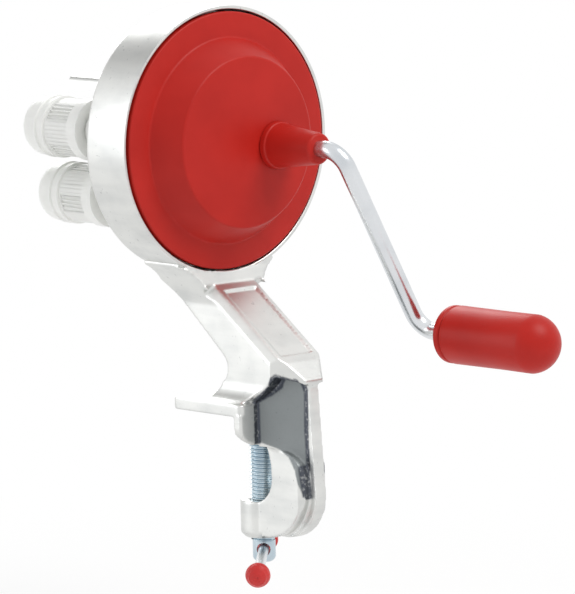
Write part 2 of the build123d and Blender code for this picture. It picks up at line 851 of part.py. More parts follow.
with BuildPart() as forming_hood:
    with BuildSketch(face_plane(back_x, 0, 0)):
        with BuildLine():
            Line((crank_y, arch_top_z), (hood_lip_y + 3.0, arch_top_z))
            ThreePointArc(
                (hood_lip_y + 3.0, arch_top_z),
                (hood_lip_y + 0.9, arch_top_z - 0.9),
                (hood_lip_y, arch_top_z - 3.0),
            )
            Line((hood_lip_y, arch_top_z - 3.0), (hood_lip_y, arch_top_z - hood_lip_drop))
            Line(
                (hood_lip_y, arch_top_z - hood_lip_drop),
                (hood_lip_y + hood_wall, arch_top_z - hood_lip_drop),
            )
            Line(
                (hood_lip_y + hood_wall, arch_top_z - hood_lip_drop),
                (hood_lip_y + hood_wall, arch_top_z - hood_wall),
            )
            Line((hood_lip_y + hood_wall, arch_top_z - hood_wall), (crank_y, arch_top_z - hood_wall))
            ThreePointArc(
                (crank_y, crank_z + arch_in),
                (crank_y + arch_in * cos(radians(30)), crank_z + arch_in * sin(radians(30))),
                (crank_y + arch_in * cos(hood_end), crank_z + arch_in * sin(hood_end)),
            )
            Line(
                (crank_y + arch_in * cos(hood_end), crank_z + arch_in * sin(hood_end)),
                (crank_y + arch_out * cos(hood_end), crank_z + arch_out * sin(hood_end)),
            )
            ThreePointArc(
                (crank_y + arch_out * cos(hood_end), crank_z + arch_out * sin(hood_end)),
                (crank_y + arch_out * cos(radians(30)), crank_z + arch_out * sin(radians(30))),
                (crank_y, arch_top_z),
            )
        make_face()
    extrude(amount=-hood_length)

finish(forming_hood, "forming_hood")

with BuildPart() as blade_rotor:
    with BuildSketch(face_plane(rotor_x, *crank_point)):
        Circle(9.0)
    extrude(amount=rotor_width + 4.0)
    # two curved blades, half a turn apart
    for way in (1, -1):
        blade_root = (way * 5.0, -way * 2.0)
        blade_belly = (way * 16.0, way * 3.0)
        blade_tip = (way * rotor_r, 0)
        blade_edge = (way * (rotor_r - 1.8), way * 2.2)
        blade_back = (way * 15.0, way * 5.4)
        blade_heel = (way * 5.0, way * 3.0)
        with BuildSketch(face_plane(rotor_x, *crank_point)):
            with BuildLine():
                ThreePointArc(blade_root, blade_belly, blade_tip)
                Line(blade_tip, blade_edge)
                ThreePointArc(blade_edge, blade_back, blade_heel)
                Line(blade_heel, blade_root)
            make_face()
        extrude(amount=rotor_width)
    with BuildSketch(face_plane(rotor_x - 1, *crank_point)):
        Circle(rod_r + touch_gap)
    extrude(amount=60, mode=Mode.SUBTRACT)

finish(blade_rotor, "blade_rotor")

with BuildPart() as rotor_nut:
    with BuildSketch(face_plane(rotor_nut_x - 4.0, *crank_point)):
        Circle(8.0)
        with PolarLocations(9.2, 8):
            Circle(1.8, mode=Mode.SUBTRACT)
    extrude(amount=rotor_x - slide_gap - rotor_nut_x + 4.0)
    with BuildSketch(face_plane(rotor_nut_x - 2.0 - slide_gap, *crank_point)):
        Circle(rod_r + touch_gap)
    extrude(amount=30, mode=Mode.SUBTRACT)

finish(rotor_nut, "rotor_nut")

# ---------------------------------------------------------------- grip

with BuildPart() as grip:
    body_x = grip_x + grip_ring
    dome_x = grip_x + grip_length
    dome_edge_r = grip_r - 0.2
    dome_r = (dome_edge_r**2 + grip_dome**2) / (2 * grip_dome)
    dome_mid = (dome_x - dome_r * (1 - cos(radians(45))), dome_r * sin(radians(45)))
    with BuildSketch(turning_plane(grip_y, grip_z)):
        with BuildLine():
            Line((body_x, grip_cavity_r), (body_x, grip_r - 0.9))
            Line((body_x, grip_r - 0.9), (body_x + grip_groove, grip_r))
            Line((body_x + grip_groove, grip_r), (dome_x - grip_dome, dome_edge_r))
            ThreePointArc((dome_x - grip_dome, dome_edge_r), dome_mid, (dome_x, 0))
            Line((dome_x, 0), (dome_x - 3.0, 0))
            Line((dome_x - 3.0, 0), (dome_x - 12.0, grip_cavity_r))
            Line((dome_x - 12.0, grip_cavity_r), (body_x, grip_cavity_r))
        make_face()
    revolve(axis=turning_axis(grip_y, grip_z))

finish(grip, "grip")

with BuildPart() as grip_plug:
    with BuildSketch(turning_plane(grip_y, grip_z)):
        with BuildLine():
            Polyline(
                (grip_x, rod_r + running_gap),
                (grip_x, grip_r - 1.2),
                (grip_x + 1.0, grip_r - 0.3),
                (grip_x + grip_ring - 0.8, grip_r - 0.3),
                (grip_x + grip_ring, grip_r - 1.0),
                (grip_x + grip_ring, grip_cavity_r - touch_gap),
                (plug_end_x, grip_cavity_r - touch_gap),
                (plug_end_x, rod_r + running_gap),
                close=True,
            )
        make_face()
    revolve(axis=turning_axis(grip_y, grip_z))

finish(grip_plug, "grip_plug")

with BuildPart() as grip_washer:
    with BuildSketch(face_plane(plug_end_x + slide_gap, grip_y, grip_z)):
        Circle(8.0)
        Circle(rod_r + touch_gap, mode=Mode.SUBTRACT)
    extrude(amount=1.6)

finish(grip_washer, "grip_washer")

# ---------------------------------------------------------------- clamp screw

screw_top_z = -foot_gap - foot_thick - 0.6
neck_z = screw_top_z - 6.0
head_top_z = jaw_bottom_z - 1.0
head_bottom_z = tommy_z - 6.6

tommy_x_dir = (
    cos(radians(tommy_turn)) * cos(radians(tommy_tilt)),
    sin(radians(tommy_turn)) * cos(radians(tommy_tilt)),
    -sin(radians(tommy_tilt)),
)
tommy_plane = Plane(
    origin=(screw_x, 0, tommy_z),
    x_dir=(-sin(radians(tommy_turn)), cos(radians(tommy_turn)), 0),
    z_dir=tommy_x_dir,
)
knob_hug = screw_head_r + knob_r + 2.2

with BuildPart() as clamp_screw:
    with BuildSketch(Plane(origin=(screw_x, 0, 0), x_dir=(1, 0, 0), z_dir=(0, -1, 0))):
        with BuildLine():
            Polyline(
                (0, screw_top_z),
                (3.0, screw_top_z),
                (3.0, neck_z),
                (screw_r - 1.0, neck_z),
                (screw_r, neck_z - 1.0),
                (screw_r, head_top_z),
                (screw_head_r, head_top_z - 0.6),
                (screw_head_r, head_bottom_z + 2.4),
            )
            ThreePointArc(
                (screw_head_r, head_bottom_z + 2.4),
                (screw_head_r - 0.9, head_bottom_z + 0.8),
                (screw_head_r - 2.6, head_bottom_z),
            )
            Line((screw_head_r - 2.6, head_bottom_z), (0, head_bottom_z))
            Line((0, head_bottom_z), (0, screw_top_z))
        make_face()
    revolve(axis=Axis((screw_x, 0, 0), (0, 0, 1)))
    with BuildSketch(tommy_plane.offset(-20)):
        Circle(tommy_hole_r)
    extrude(amount=40, mode=Mode.SUBTRACT)

finish(clamp_screw, "clamp_screw")

with BuildPart() as clamp_foot:
    with BuildSketch(Plane(origin=(screw_x, 0, 0), x_dir=(1, 0, 0), z_dir=(0, -1, 0))):
        with BuildLine():
            Polyline(
                (0, -foot_gap),
                (foot_r - 0.8, -foot_gap),
                (foot_r, -foot_gap - 0.8),
                (foot_r, -foot_gap - foot_thick + 0.4),
                (5.2, -foot_gap - foot_thick - 1.6),
                (5.2, neck_z + 0.6),
                (3.0 + running_gap, neck_z + 0.6),
                (3.0 + running_gap, screw_top_z + 0.3),
                (0, screw_top_z + 0.3),
                close=True,
            )
        make_face()
    revolve(axis=Axis((screw_x, 0, 0), (0, 0, 1)))

finish(clamp_foot, "clamp_foot")

with BuildPart() as tommy_bar:
    with BuildSketch(tommy_plane.offset(-knob_hug + 3.0)):
        Circle(tommy_r)
    extrude(amount=tommy_length - 6.0)

finish(tommy_bar, "tommy_bar")


def tommy_knob(along, outward):
    """A ball knob with a turned bead, pressed on one end of the tommy bar."""
    with BuildPart() as knob:
        with BuildSketch(
            Plane(
                origin=tommy_plane.offset(along).origin,
                x_dir=tommy_plane.z_dir * outward,
                z_dir=tommy_plane.x_dir,
            )
        ):
            with BuildLine():
                Line((-knob_r, 0), (-knob_r, 2.9))
                Line((-knob_r, 2.9), (-knob_r + 1.4, 3.6))
                ThreePointArc((-knob_r + 1.4, 3.6), (0.2, knob_r), (4.4, 3.5))
                Line((4.4, 3.5), (knob_r - 0.2, 1.6))
                Line((knob_r - 0.2, 1.6), (knob_r - 0.2, 0))
                Line((knob_r - 0.2, 0), (-knob_r, 0))
            make_face()
        revolve(axis=Axis(tommy_plane.offset(along).origin, tommy_plane.z_dir))
        with BuildSketch(tommy_plane.offset(along - outward * 3.0)):
            Circle(tommy_r + touch_gap)
        extrude(amount=-outward * 10, mode=Mode.SUBTRACT)
    return knob


finish(tommy_knob(-knob_hug, -1), "tommy_knob_far")
finish(tommy_knob(-knob_hug + tommy_length, 1), "tommy_knob_near")
print("crank arm angle", round(degrees(atan2(grip_reach, crank_radius)), 2))
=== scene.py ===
"""A hand cranked pasta roller on its table clamp, dressed for a plain studio picture.

Metres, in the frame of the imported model: +X out along the crank, +Z up, and the origin in the
middle of the clamp shelf's underside.
"""

import logging
import math
from dataclasses import dataclass, field
from enum import Enum
from typing import Any, Iterable, Sequence

import bmesh
import bpy
from mathutils import Matrix, Vector
from mathutils.geometry import intersect_point_line


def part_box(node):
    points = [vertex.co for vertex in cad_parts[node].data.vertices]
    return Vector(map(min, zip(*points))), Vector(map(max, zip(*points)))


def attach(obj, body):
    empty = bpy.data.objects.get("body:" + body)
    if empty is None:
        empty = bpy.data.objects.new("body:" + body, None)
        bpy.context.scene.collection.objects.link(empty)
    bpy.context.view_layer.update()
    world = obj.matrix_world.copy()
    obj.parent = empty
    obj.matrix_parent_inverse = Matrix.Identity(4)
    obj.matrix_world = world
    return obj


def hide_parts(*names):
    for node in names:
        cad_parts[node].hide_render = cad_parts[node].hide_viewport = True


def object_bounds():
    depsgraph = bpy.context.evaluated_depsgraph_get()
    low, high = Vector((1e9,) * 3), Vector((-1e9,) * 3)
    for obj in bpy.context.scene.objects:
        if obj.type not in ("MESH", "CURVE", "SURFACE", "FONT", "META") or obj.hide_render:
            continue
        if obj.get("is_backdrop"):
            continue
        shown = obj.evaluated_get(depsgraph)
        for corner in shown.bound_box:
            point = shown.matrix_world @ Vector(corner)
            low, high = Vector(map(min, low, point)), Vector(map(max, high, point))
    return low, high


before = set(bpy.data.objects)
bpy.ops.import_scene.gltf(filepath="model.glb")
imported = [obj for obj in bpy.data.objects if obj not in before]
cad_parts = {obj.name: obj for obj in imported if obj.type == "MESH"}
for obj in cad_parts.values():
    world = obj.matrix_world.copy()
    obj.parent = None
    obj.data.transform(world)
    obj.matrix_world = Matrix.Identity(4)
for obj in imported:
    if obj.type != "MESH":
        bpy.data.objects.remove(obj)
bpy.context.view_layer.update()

logging.basicConfig(level=logging.INFO, format="%(message)s")
log = logging.getLogger("pasta_roller")

MM = 0.001
Point = tuple[float, float]
Colour = tuple[float, float, float]


# ------------------------------------------------------------------ shader maths


class Shade:
    """A value in a material's maths: one output socket that takes the usual operators."""

    def __init__(self, recipe: "Recipe", socket: bpy.types.NodeSocket) -> None:
        """Wraps a socket.

        Args:
            recipe: The material that the socket is in.
            socket: The output socket.
        """
        self.recipe = recipe
        self.socket = socket

    def _math(self, operation: str, first: Any, second: Any) -> "Shade":
        """Adds one Math node and gives its result."""
        return self.recipe.node("ShaderNodeMath", {"operation": operation}, {0: first, 1: second})

    def __add__(self, other: "Shade | float") -> "Shade":
        """This value plus another."""
        return self._math("ADD", self, other)

    __radd__ = __add__

    def __mul__(self, other: "Shade | float") -> "Shade":
        """This value times another."""
        return self._math("MULTIPLY", self, other)

    __rmul__ = __mul__

    def __sub__(self, other: "Shade | float") -> "Shade":
        """This value less another."""
        return self._math("SUBTRACT", self, other)

    def __rsub__(self, other: float) -> "Shade":
        """Another value less this one."""
        return self._math("SUBTRACT", other, self)

    def within(self, low: float, high: float) -> "Shade":
        """The value's place between low and high, eased, from 0 to 1.

        Args:
            low: The value that gives 0.
            high: The value that gives 1.

        Returns:
            The eased place.
        """
        return self.recipe.node(
            "ShaderNodeMapRange",
            {"interpolation_type": "SMOOTHSTEP"},
            {"Value": self, "From Min": low, "From Max": high},
        )


class Recipe:
    """The node tree of one material, and the one method that adds nodes to it."""

    def __init__(self, name: str, kind: str = "materials") -> None:
        """Starts an empty material or world.

        Args:
            name: Its name.
            kind: Where Blender keeps it: materials or worlds.
        """
        self.material = getattr(bpy.data, kind).new(name)
        self.material.use_nodes = True
        self.tree = self.material.node_tree
        self.tree.nodes.clear()

    def node(
        self,
        kind: str,
        settings: dict[str, Any] | None = None,
        inputs: dict[str | int, Any] | None = None,
        output: str | int = 0,
    ) -> Shade | None:
        """Adds a node.

        Args:
            kind: The node's type.
            settings: What is set on the node first.
            inputs: A value or a Shade for each named or numbered socket.
            output: The output socket to give back.

        Returns:
            The chosen output, or nothing for a node that ends the tree.
        """
        made = self.tree.nodes.new(kind)
        for key, value in (settings or {}).items():
            setattr(made, key, value)
        for key, value in (inputs or {}).items():
            socket = made.inputs[key]
            if isinstance(value, Shade):
                self.tree.links.new(value.socket, socket)
            elif socket.type == "RGBA":
                socket.default_value = (*value, 1.0)[:4]
            else:
                socket.default_value = value
        return Shade(self, made.outputs[output]) if made.outputs else None

    def place(self, scale: tuple[float, float, float] = (1, 1, 1)) -> Shade:
        """The object's own coordinates, scaled along each axis.

        Args:
            scale: How much finer the pattern is along X, Y and Z.

        Returns:
            The scaled coordinates.
        """
        where = self.node("ShaderNodeTexCoord", output="Object")
        return self.node("ShaderNodeMapping", inputs={"Vector": where, "Scale": scale})

    def noise(self, scale: float, detail: float = 3.0, stretch: tuple = (1, 1, 1)) -> Shade:
        """A soft random pattern.

        Args:
            scale: Its fineness, in patches a metre.
            detail: How many finer layers it has.
            stretch: How much finer it is along each axis.

        Returns:
            The pattern, about 0 to 1.
        """
        return self.node(
            "ShaderNodeTexNoise",
            inputs={"Vector": self.place(stretch), "Scale": scale, "Detail": detail},
        )

    def attribute(self, name: str) -> Shade:
        """A number that the mesh carries at each corner, or 0 where it carries none.

        Args:
            name: The attribute's name.

        Returns:
            The number.
        """
        return self.node("ShaderNodeAttribute", {"attribute_name": name}, output="Fac")

    def mix(self, share: Shade | float, first: Any, second: Any) -> Shade:
        """Mixes two colours by a share.

        Args:
            share: 0 for the first, 1 for the second.
            first: A colour or a Shade.
            second: A colour or a Shade.

        Returns:
            The mixed colour.
        """
        return self.node(
            "ShaderNodeMix", {"data_type": "RGBA"}, {0: share, 6: first, 7: second}, output=2
        )

    def bump(self, height: Shade, depth: float, strength: float = 1.0) -> Shade:
        """Turns a height pattern into a surface direction.

        Args:
            height: The pattern.
            depth: What a height of 1 stands for, in metres.
            strength: How much of it shows.

        Returns:
            The direction for a Normal socket.
        """
        return self.node(
            "ShaderNodeBump", inputs={"Height": height, "Distance": depth, "Strength": strength}
        )

    def rays(self) -> tuple[Shade, Shade, Shade]:
        """Whether the camera, a reflection or a see-through ray is looking."""
        kinds = ("Is Camera Ray", "Is Glossy Ray", "Is Transmission Ray")
        return tuple(self.node("ShaderNodeLightPath", output=kind) for kind in kinds)

    def finish(self, **sockets: Any) -> bpy.types.Material:
        """Ends the material in one surface shader.

        Args:
            sockets: What goes in each socket, with underscores for the spaces in its name.

        Returns:
            The material.
        """
        inputs = {key.replace("_", " "): value for key, value in sockets.items()}
        shader = self.node("ShaderNodeBsdfPrincipled", inputs=inputs)
        self.node("ShaderNodeOutputMaterial", inputs={"Surface": shader})
        return self.material


# ------------------------------------------------------------------ finishes


@dataclass(frozen=True)
class CastAluminium:
    """Sand cast aluminium, tumbled and buffed where it shows, and left grey in the clamp's web; its
    base colour carries painted shade in crevices and corners, and lines of painted shade along the
    web's fillets.
    """

    name: str = "cast_aluminium"
    bright: Colour = (0.75, 0.755, 0.735)
    dull: Colour = (0.62, 0.63, 0.62)
    raw: Colour = (0.27, 0.29, 0.295)
    # Dark colour of the pits, and of the painted shade in crevices and along the fillets.
    pits_and_shade: Colour = (0.06, 0.068, 0.088)
    roughness: float = 0.28
    spread: float = 0.14
    pit_depth: float = 0.05 * MM
    raw_depth: float = 0.20 * MM
    # How far ambient occlusion looks for the painted crevice shade.
    crevice_reach: float = 3.5 * MM

    def make(self) -> bpy.types.Material:
        """Builds the material."""
        recipe = Recipe(self.name)
        raw = recipe.attribute("as_cast")
        line = recipe.attribute("fillet_shade")
        clouds = recipe.noise(75.0, 5.0)
        streaks = recipe.noise(22.0, 4.0, (1.0, 1.0, 7.0))
        grain = recipe.noise(1100.0, 5.0)
        sand = recipe.noise(650.0, 6.0)
        pits = recipe.noise(520.0, 3.0).within(0.66, 0.76)
        # Ambient occlusion, which darkens the base colour below: painted shade in crevices and
        # corners.
        closed = recipe.node(
            "ShaderNodeAmbientOcclusion",
            {"samples": 8, "only_local": True},
            {"Distance": self.crevice_reach},
            output="AO",
        )
        worn = recipe.mix((clouds * 0.5 + streaks * 0.5).within(0.36, 0.72), self.bright, self.dull)
        pitted = recipe.mix(pits * 0.28, worn, self.pits_and_shade)
        cast = recipe.mix(raw, pitted, self.raw)
        shaded = recipe.mix(closed.within(0.10, 0.42), self.pits_and_shade, cast)
        # Painted shade: dark lines along the web's fillets, mixed into the base colour.
        lined = recipe.mix(line * (sand.within(0.30, 0.50) * 0.35 + 0.60), shaded, self.pits_and_shade)
        buffed = (grain * 0.4 + clouds * 1.2 - pits * 0.6) * (1.0 - raw)
        height = buffed + sand * raw * (self.raw_depth / self.pit_depth)
        return recipe.finish(
            Base_Color=lined,
            Metallic=1.0,
            Roughness=self.roughness + clouds * self.spread + pits * 0.15 + raw * 0.22,
            Normal=recipe.bump(height, self.pit_depth, 0.75),
        )


@dataclass(frozen=True)
class MouldedPlastic:
    """Coloured moulded plastic with a fine satin skin."""

    name: str
    colour: Colour
    shade: Colour
    roughness: float = 0.34
    skin_depth: float = 0.03 * MM
    skin_scale: float = 1400.0
    body: float = 0.0
    body_reach: float = 4.0 * MM
    sheen: float = 0.24

    def make(self) -> bpy.types.Material:
        """Builds the material."""
        recipe = Recipe(self.name)
        clouds = recipe.noise(35.0, 3.0)
        skin = recipe.noise(self.skin_scale, 2.0)
        scuffs = recipe.noise(90.0, 6.0, (1.0, 6.0, 1.0)).within(0.6, 0.8)
        return recipe.finish(
            Base_Color=recipe.mix(clouds.within(0.3, 0.75), self.colour, self.shade),
            Roughness=self.roughness + clouds * 0.08 + scuffs * 0.08,
            Normal=recipe.bump(skin + scuffs * 0.3, self.skin_depth, 0.6),
            Specular_IOR_Level=self.sheen,
            Subsurface_Weight=self.body,
            Subsurface_Radius=(self.body_reach,) * 3,
            Subsurface_Scale=1.0,
        )


@dataclass(frozen=True)
class PlatedSteel:
    """Drawn steel rod or pressed steel with plating: fine marks along the drawing direction."""

    name: str
    bright: Colour
    dull: Colour
    roughness: float = 0.16
    drawn_along: tuple[float, float, float] = (40.0, 900.0, 900.0)
    mark_depth: float = 0.012 * MM

    def make(self) -> bpy.types.Material:
        """Builds the material."""
        recipe = Recipe(self.name)
        marks = recipe.noise(1.0, 3.0, self.drawn_along)
        clouds = recipe.noise(45.0, 4.0)
        return recipe.finish(
            Base_Color=recipe.mix(clouds.within(0.35, 0.7), self.bright, self.dull),
            Metallic=1.0,
            Roughness=self.roughness + marks * 0.12 + clouds * 0.05,
            Normal=recipe.bump(marks, self.mark_depth, 0.5),
        )


class Finish(Enum):
    """The finishes that the pieces are made in."""

    CASTING = CastAluminium()
    RED = MouldedPlastic("red_plastic", (0.50, 0.017, 0.011), (0.44, 0.013, 0.008), 0.38)
    RED_BALL = MouldedPlastic("red_ball_plastic", (0.62, 0.045, 0.042), (0.54, 0.032, 0.03), 0.32)
    MILKY = MouldedPlastic(
        "milky_plastic", (0.88, 0.885, 0.86), (0.86, 0.87, 0.84), 0.30, body=0.6, sheen=0.4
    )
    GEAR = MouldedPlastic("gear_nylon", (0.72, 0.70, 0.62), (0.66, 0.64, 0.56), 0.45)
    PLATED = PlatedSteel("bright_plated_steel", (0.74, 0.76, 0.78), (0.62, 0.65, 0.68))
    BLUED = PlatedSteel(
        "blue_zinc_steel", (0.60, 0.69, 0.74), (0.44, 0.54, 0.61), 0.20, (500.0, 500.0, 60.0)
    )
    SPRING = PlatedSteel("spring_steel", (0.20, 0.20, 0.21), (0.13, 0.13, 0.14), 0.32)


class Paints:
    """Makes each finish once, and puts it on pieces and on the model's own nodes."""

    def __init__(self) -> None:
        """Starts with nothing made."""
        self.made: dict[Finish, bpy.types.Material] = {}

    def of(self, finish: Finish) -> bpy.types.Material:
        """The material of a finish."""
        if finish not in self.made:
            self.made[finish] = finish.value.make()
        return self.made[finish]

    def dress(self, thing: bpy.types.Object, finish: Finish) -> None:
        """Gives an object one finish.

        Args:
            thing: The object.
            finish: Its finish.
        """
        material = self.of(finish)
        if thing.material_slots:
            for slot in thing.material_slots:
                slot.material = material
        else:
            thing.data.materials.append(material)


paints = Paints()


# ------------------------------------------------------------------ making meshes


@dataclass(frozen=True)
class Turned:
    """The axis and the ends of a node that is turned about a line along X."""

    y: float
    z: float
    start: float
    end: float
    radius: float

    @classmethod
    def of(cls, node: str) -> "Turned":
        """Reads a turned node's place from the frame.

        Args:
            node: The node's name.

        Returns:
            Its axis, ends and radius.
        """
        low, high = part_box(node)
        return cls((low.y + high.y) / 2, (low.z + high.z) / 2, low.x, high.x, (high.z - low.z) / 2)

    @property
    def origin(self) -> tuple[float, float, float]:
        """The end of the axis that is nearest the drum's back."""
        return self.start, self.y, self.z

    @property
    def length(self) -> float:
        """How long the node is."""
        return self.end - self.start


def softened(points: Sequence[Point], reach: float, steps: int = 4) -> list[Point]:
    """Rounds the inner corners of an open outline.

    Args:
        points: The outline's corners.
        reach: How far from a corner its rounding starts.
        steps: How many lines make a rounding.

    Returns:
        The rounded outline.
    """
    rounded = [points[0]]
    for before, corner, after in zip(points, points[1:], points[2:]):
        a, b, c = Vector(before), Vector(corner), Vector(after)
        cut = min(reach, (b - a).length * 0.45, (c - b).length * 0.45)
        start = b + (a - b).normalized() * cut
        end = b + (c - b).normalized() * cut
        for step in range(steps + 1):
            t = step / steps
            rounded.append(tuple((1 - t) ** 2 * start + 2 * t * (1 - t) * b + t**2 * end))
    rounded.append(points[-1])
    return rounded


def arc(centre: Point, radius: float, start: float, end: float, steps: int = 12) -> list[Point]:
    """Points along an arc.

    Args:
        centre: The arc's centre.
        radius: Its radius.
        start: Its first angle, in degrees.
        end: Its last angle, in degrees.
        steps: How many lines make it.

    Returns:
        The points, ends included.
    """
    angles = [math.radians(start + (end - start) * step / steps) for step in range(steps + 1)]
    return [(centre[0] + radius * math.cos(a), centre[1] + radius * math.sin(a)) for a in angles]


def stand(name: str, data: bpy.types.ID) -> bpy.types.Object:
    """Puts a mesh or a curve into the scene as an object."""
    thing = bpy.data.objects.new(name, data)
    bpy.context.scene.collection.objects.link(thing)
    return thing


def traced(
    name: str, places: Iterable[Sequence[float]], closed: bool = False
) -> bpy.types.Object:
    """Stands a curve of straight runs in the scene.

    Args:
        name: Its name.
        places: The points that it goes through.
        closed: Whether the last point joins the first.

    Returns:
        The curve's object.
    """
    curve = bpy.data.curves.new(name, "CURVE")
    curve.dimensions = "3D"
    spline = curve.splines.new("POLY")
    points = list(places)
    spline.points.add(len(points) - 1)
    for point, place in zip(spline.points, points):
        point.co = (*place, 1.0)
    spline.use_cyclic_u = closed
    return stand(name, curve)


def meshed(name: str, shape: bmesh.types.BMesh) -> bpy.types.Object:
    """Makes an object of a bmesh, which is freed."""
    mesh = bpy.data.meshes.new(name)
    shape.to_mesh(mesh)
    shape.free()
    return stand(name, mesh)


def cut_off(shape: bmesh.types.BMesh, height: float) -> list[bmesh.types.BMEdge]:
    """Cuts away what lies above a height, and gives the edges of the cut."""
    cut = bmesh.ops.bisect_plane(
        shape,
        geom=[*shape.verts, *shape.edges, *shape.faces],
        plane_co=(0, 0, height),
        plane_no=(0, 0, 1),
        clear_outer=True,
    )
    return [part for part in cut["geom_cut"] if isinstance(part, bmesh.types.BMEdge)]


def evaluated_mesh(thing: bpy.types.Object) -> bpy.types.Mesh:
    """The plain mesh that an object's modifiers give."""
    bpy.context.view_layer.update()
    evaluated = thing.evaluated_get(bpy.context.evaluated_depsgraph_get())
    return bpy.data.meshes.new_from_object(evaluated)


def new_piece(name: str, verts: Iterable[Sequence[float]], faces: Iterable[Sequence[int]]):
    """Makes a mesh object with its faces pointing outwards.

    Args:
        name: The object's name.
        verts: The corners.
        faces: The faces.

    Returns:
        The new object.
    """
    mesh = bpy.data.meshes.new(name)
    mesh.from_pydata([tuple(v) for v in verts], [], [tuple(f) for f in faces])
    shape = bmesh.new()
    shape.from_mesh(mesh)
    bmesh.ops.remove_doubles(shape, verts=shape.verts, dist=1e-7)
    bmesh.ops.recalc_face_normals(shape, faces=shape.faces)
    shape.to_mesh(mesh)
    shape.free()
    thing = stand(name, mesh)
    smooth(thing)
    return thing


def smooth(thing: bpy.types.Object, angle: float = 32.0) -> None:
    """Shades an object smooth, with creases where it turns sharply.

    Args:
        thing: The object.
        angle: The least angle of a crease, in degrees.
    """
    thing.data.polygons.foreach_set("use_smooth", [True] * len(thing.data.polygons))
    thing.data.set_sharp_from_angle(angle=math.radians(angle))


def lathe(
    name: str,
    outline: Sequence[Point],
    origin: Sequence[float],
    along: Sequence[float] = (1, 0, 0),
    segments: int = 96,
    closed: bool = False,
) -> bpy.types.Object:
    """Turns an outline about an axis.

    Args:
        name: The object's name.
        outline: Points of (distance along the axis, radius).
        origin: Where the axis starts.
        along: The axis's direction.
        segments: How many flats go round.
        closed: Whether the outline's last point joins its first.

    Returns:
        The turned object.
    """
    axis = Vector(along).normalized()
    side = axis.orthogonal().normalized()
    up = axis.cross(side)
    start = Vector(origin)
    verts = []
    for place, radius in outline:
        for turn in range(segments):
            angle = math.tau * turn / segments
            spoke = side * math.cos(angle) + up * math.sin(angle)
            verts.append(start + axis * place + spoke * max(radius, 0.0))
    rows = len(outline) if closed else len(outline) - 1
    faces = []
    for row in range(rows):
        low = row * segments
        high = (row + 1) % len(outline) * segments
        for turn in range(segments):
            after = (turn + 1) % segments
            faces.append((low + turn, low + after, high + after, high + turn))
    return new_piece(name, verts, faces)


def seat(thing: bpy.types.Object, body: str, finish: Finish, slot: str, *nodes: str) -> None:
    """Dresses a finished piece and lets it ride on its body.

    Args:
        thing: The piece.
        body: The body that it moves with.
        finish: Its finish.
        slot: A material slot's name, which is not used.
        nodes: The model's nodes that it stands for.
    """
    if not thing.data.materials:
        paints.dress(thing, finish)
    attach(thing, body)
    if nodes:
        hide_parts(*nodes)
    log.info("%s: %d faces, rides on %s", thing.name, len(thing.data.polygons), body)


# ------------------------------------------------------------------ geometry nodes


class Growth:
    """A geometry nodes tree with named inputs, which grows a piece and leaves a plain mesh."""

    def __init__(self, name: str, sizes: dict[str, float]) -> None:
        """Starts a tree.

        Args:
            name: The tree's and the piece's name.
            sizes: The named inputs and their values.
        """
        self.name = name
        self.sizes = sizes
        self.tree = bpy.data.node_groups.new(name, "GeometryNodeTree")
        self.tree.interface.new_socket("Geometry", in_out="OUTPUT", socket_type="NodeSocketGeometry")
        self.keys: dict[str, str] = {}
        for label, value in sizes.items():
            kind = "NodeSocketInt" if isinstance(value, int) else "NodeSocketFloat"
            made = self.tree.interface.new_socket(label, in_out="INPUT", socket_type=kind)
            self.keys[label] = made.identifier
        self.given = self.tree.nodes.new("NodeGroupInput")
        self.result = self.tree.nodes.new("NodeGroupOutput")

    def size(self, label: str) -> bpy.types.NodeSocket:
        """The socket of a named input."""
        return self.given.outputs[label]

    def add(self, kind: str, settings: dict[str, Any] | None = None, **inputs: Any) -> Any:
        """Adds a node to the tree.

        Args:
            kind: The node's type.
            settings: What is set on the node first.
            inputs: A value or a socket for each input, with underscores for spaces.

        Returns:
            The node.
        """
        made = self.tree.nodes.new(kind)
        for key, value in (settings or {}).items():
            setattr(made, key, value)
        for key, value in inputs.items():
            socket = made.inputs[key.replace("_", " ")]
            if isinstance(value, bpy.types.NodeSocket):
                self.tree.links.new(value, socket)
            else:
                socket.default_value = value
        return made

    def take(self, holder: bpy.types.Object) -> bpy.types.NodeSocket:
        """The geometry of another object."""
        info = self.add("GeometryNodeObjectInfo", {"transform_space": "ORIGINAL"}, Object=holder)
        return info.outputs["Geometry"]

    def sweep(self, path: bpy.types.NodeSocket, profile: bpy.types.NodeSocket) -> Any:
        """A profile swept along a path, with its ends closed."""
        inputs = {"Curve": path, "Profile_Curve": profile, "Fill_Caps": True}
        return self.add("GeometryNodeCurveToMesh", **inputs).outputs[0]

    def grow(self, grown: bpy.types.NodeSocket, finish: Finish) -> bpy.types.Object:
        """Realizes the tree's result as a plain mesh object.

        Args:
            grown: The geometry to keep.
            finish: The finish that it is made in.

        Returns:
            The new object, without its modifier.
        """
        real = self.add("GeometryNodeRealizeInstances", Geometry=grown)
        dressed = self.add(
            "GeometryNodeSetMaterial", Geometry=real.outputs[0], Material=paints.of(finish)
        )
        self.tree.links.new(dressed.outputs[0], self.result.inputs[0])
        holder = stand(self.name, bpy.data.meshes.new(self.name))
        modifier = holder.modifiers.new(self.name, "NODES")
        modifier.node_group = self.tree
        for label, key in self.keys.items():
            modifier[key] = self.sizes[label]
        mesh = evaluated_mesh(holder)
        holder.modifiers.remove(modifier)
        bpy.data.objects.remove(holder)
        thing = stand(self.name, mesh)
        smooth(thing)
        return thing


# ------------------------------------------------------------------ casting


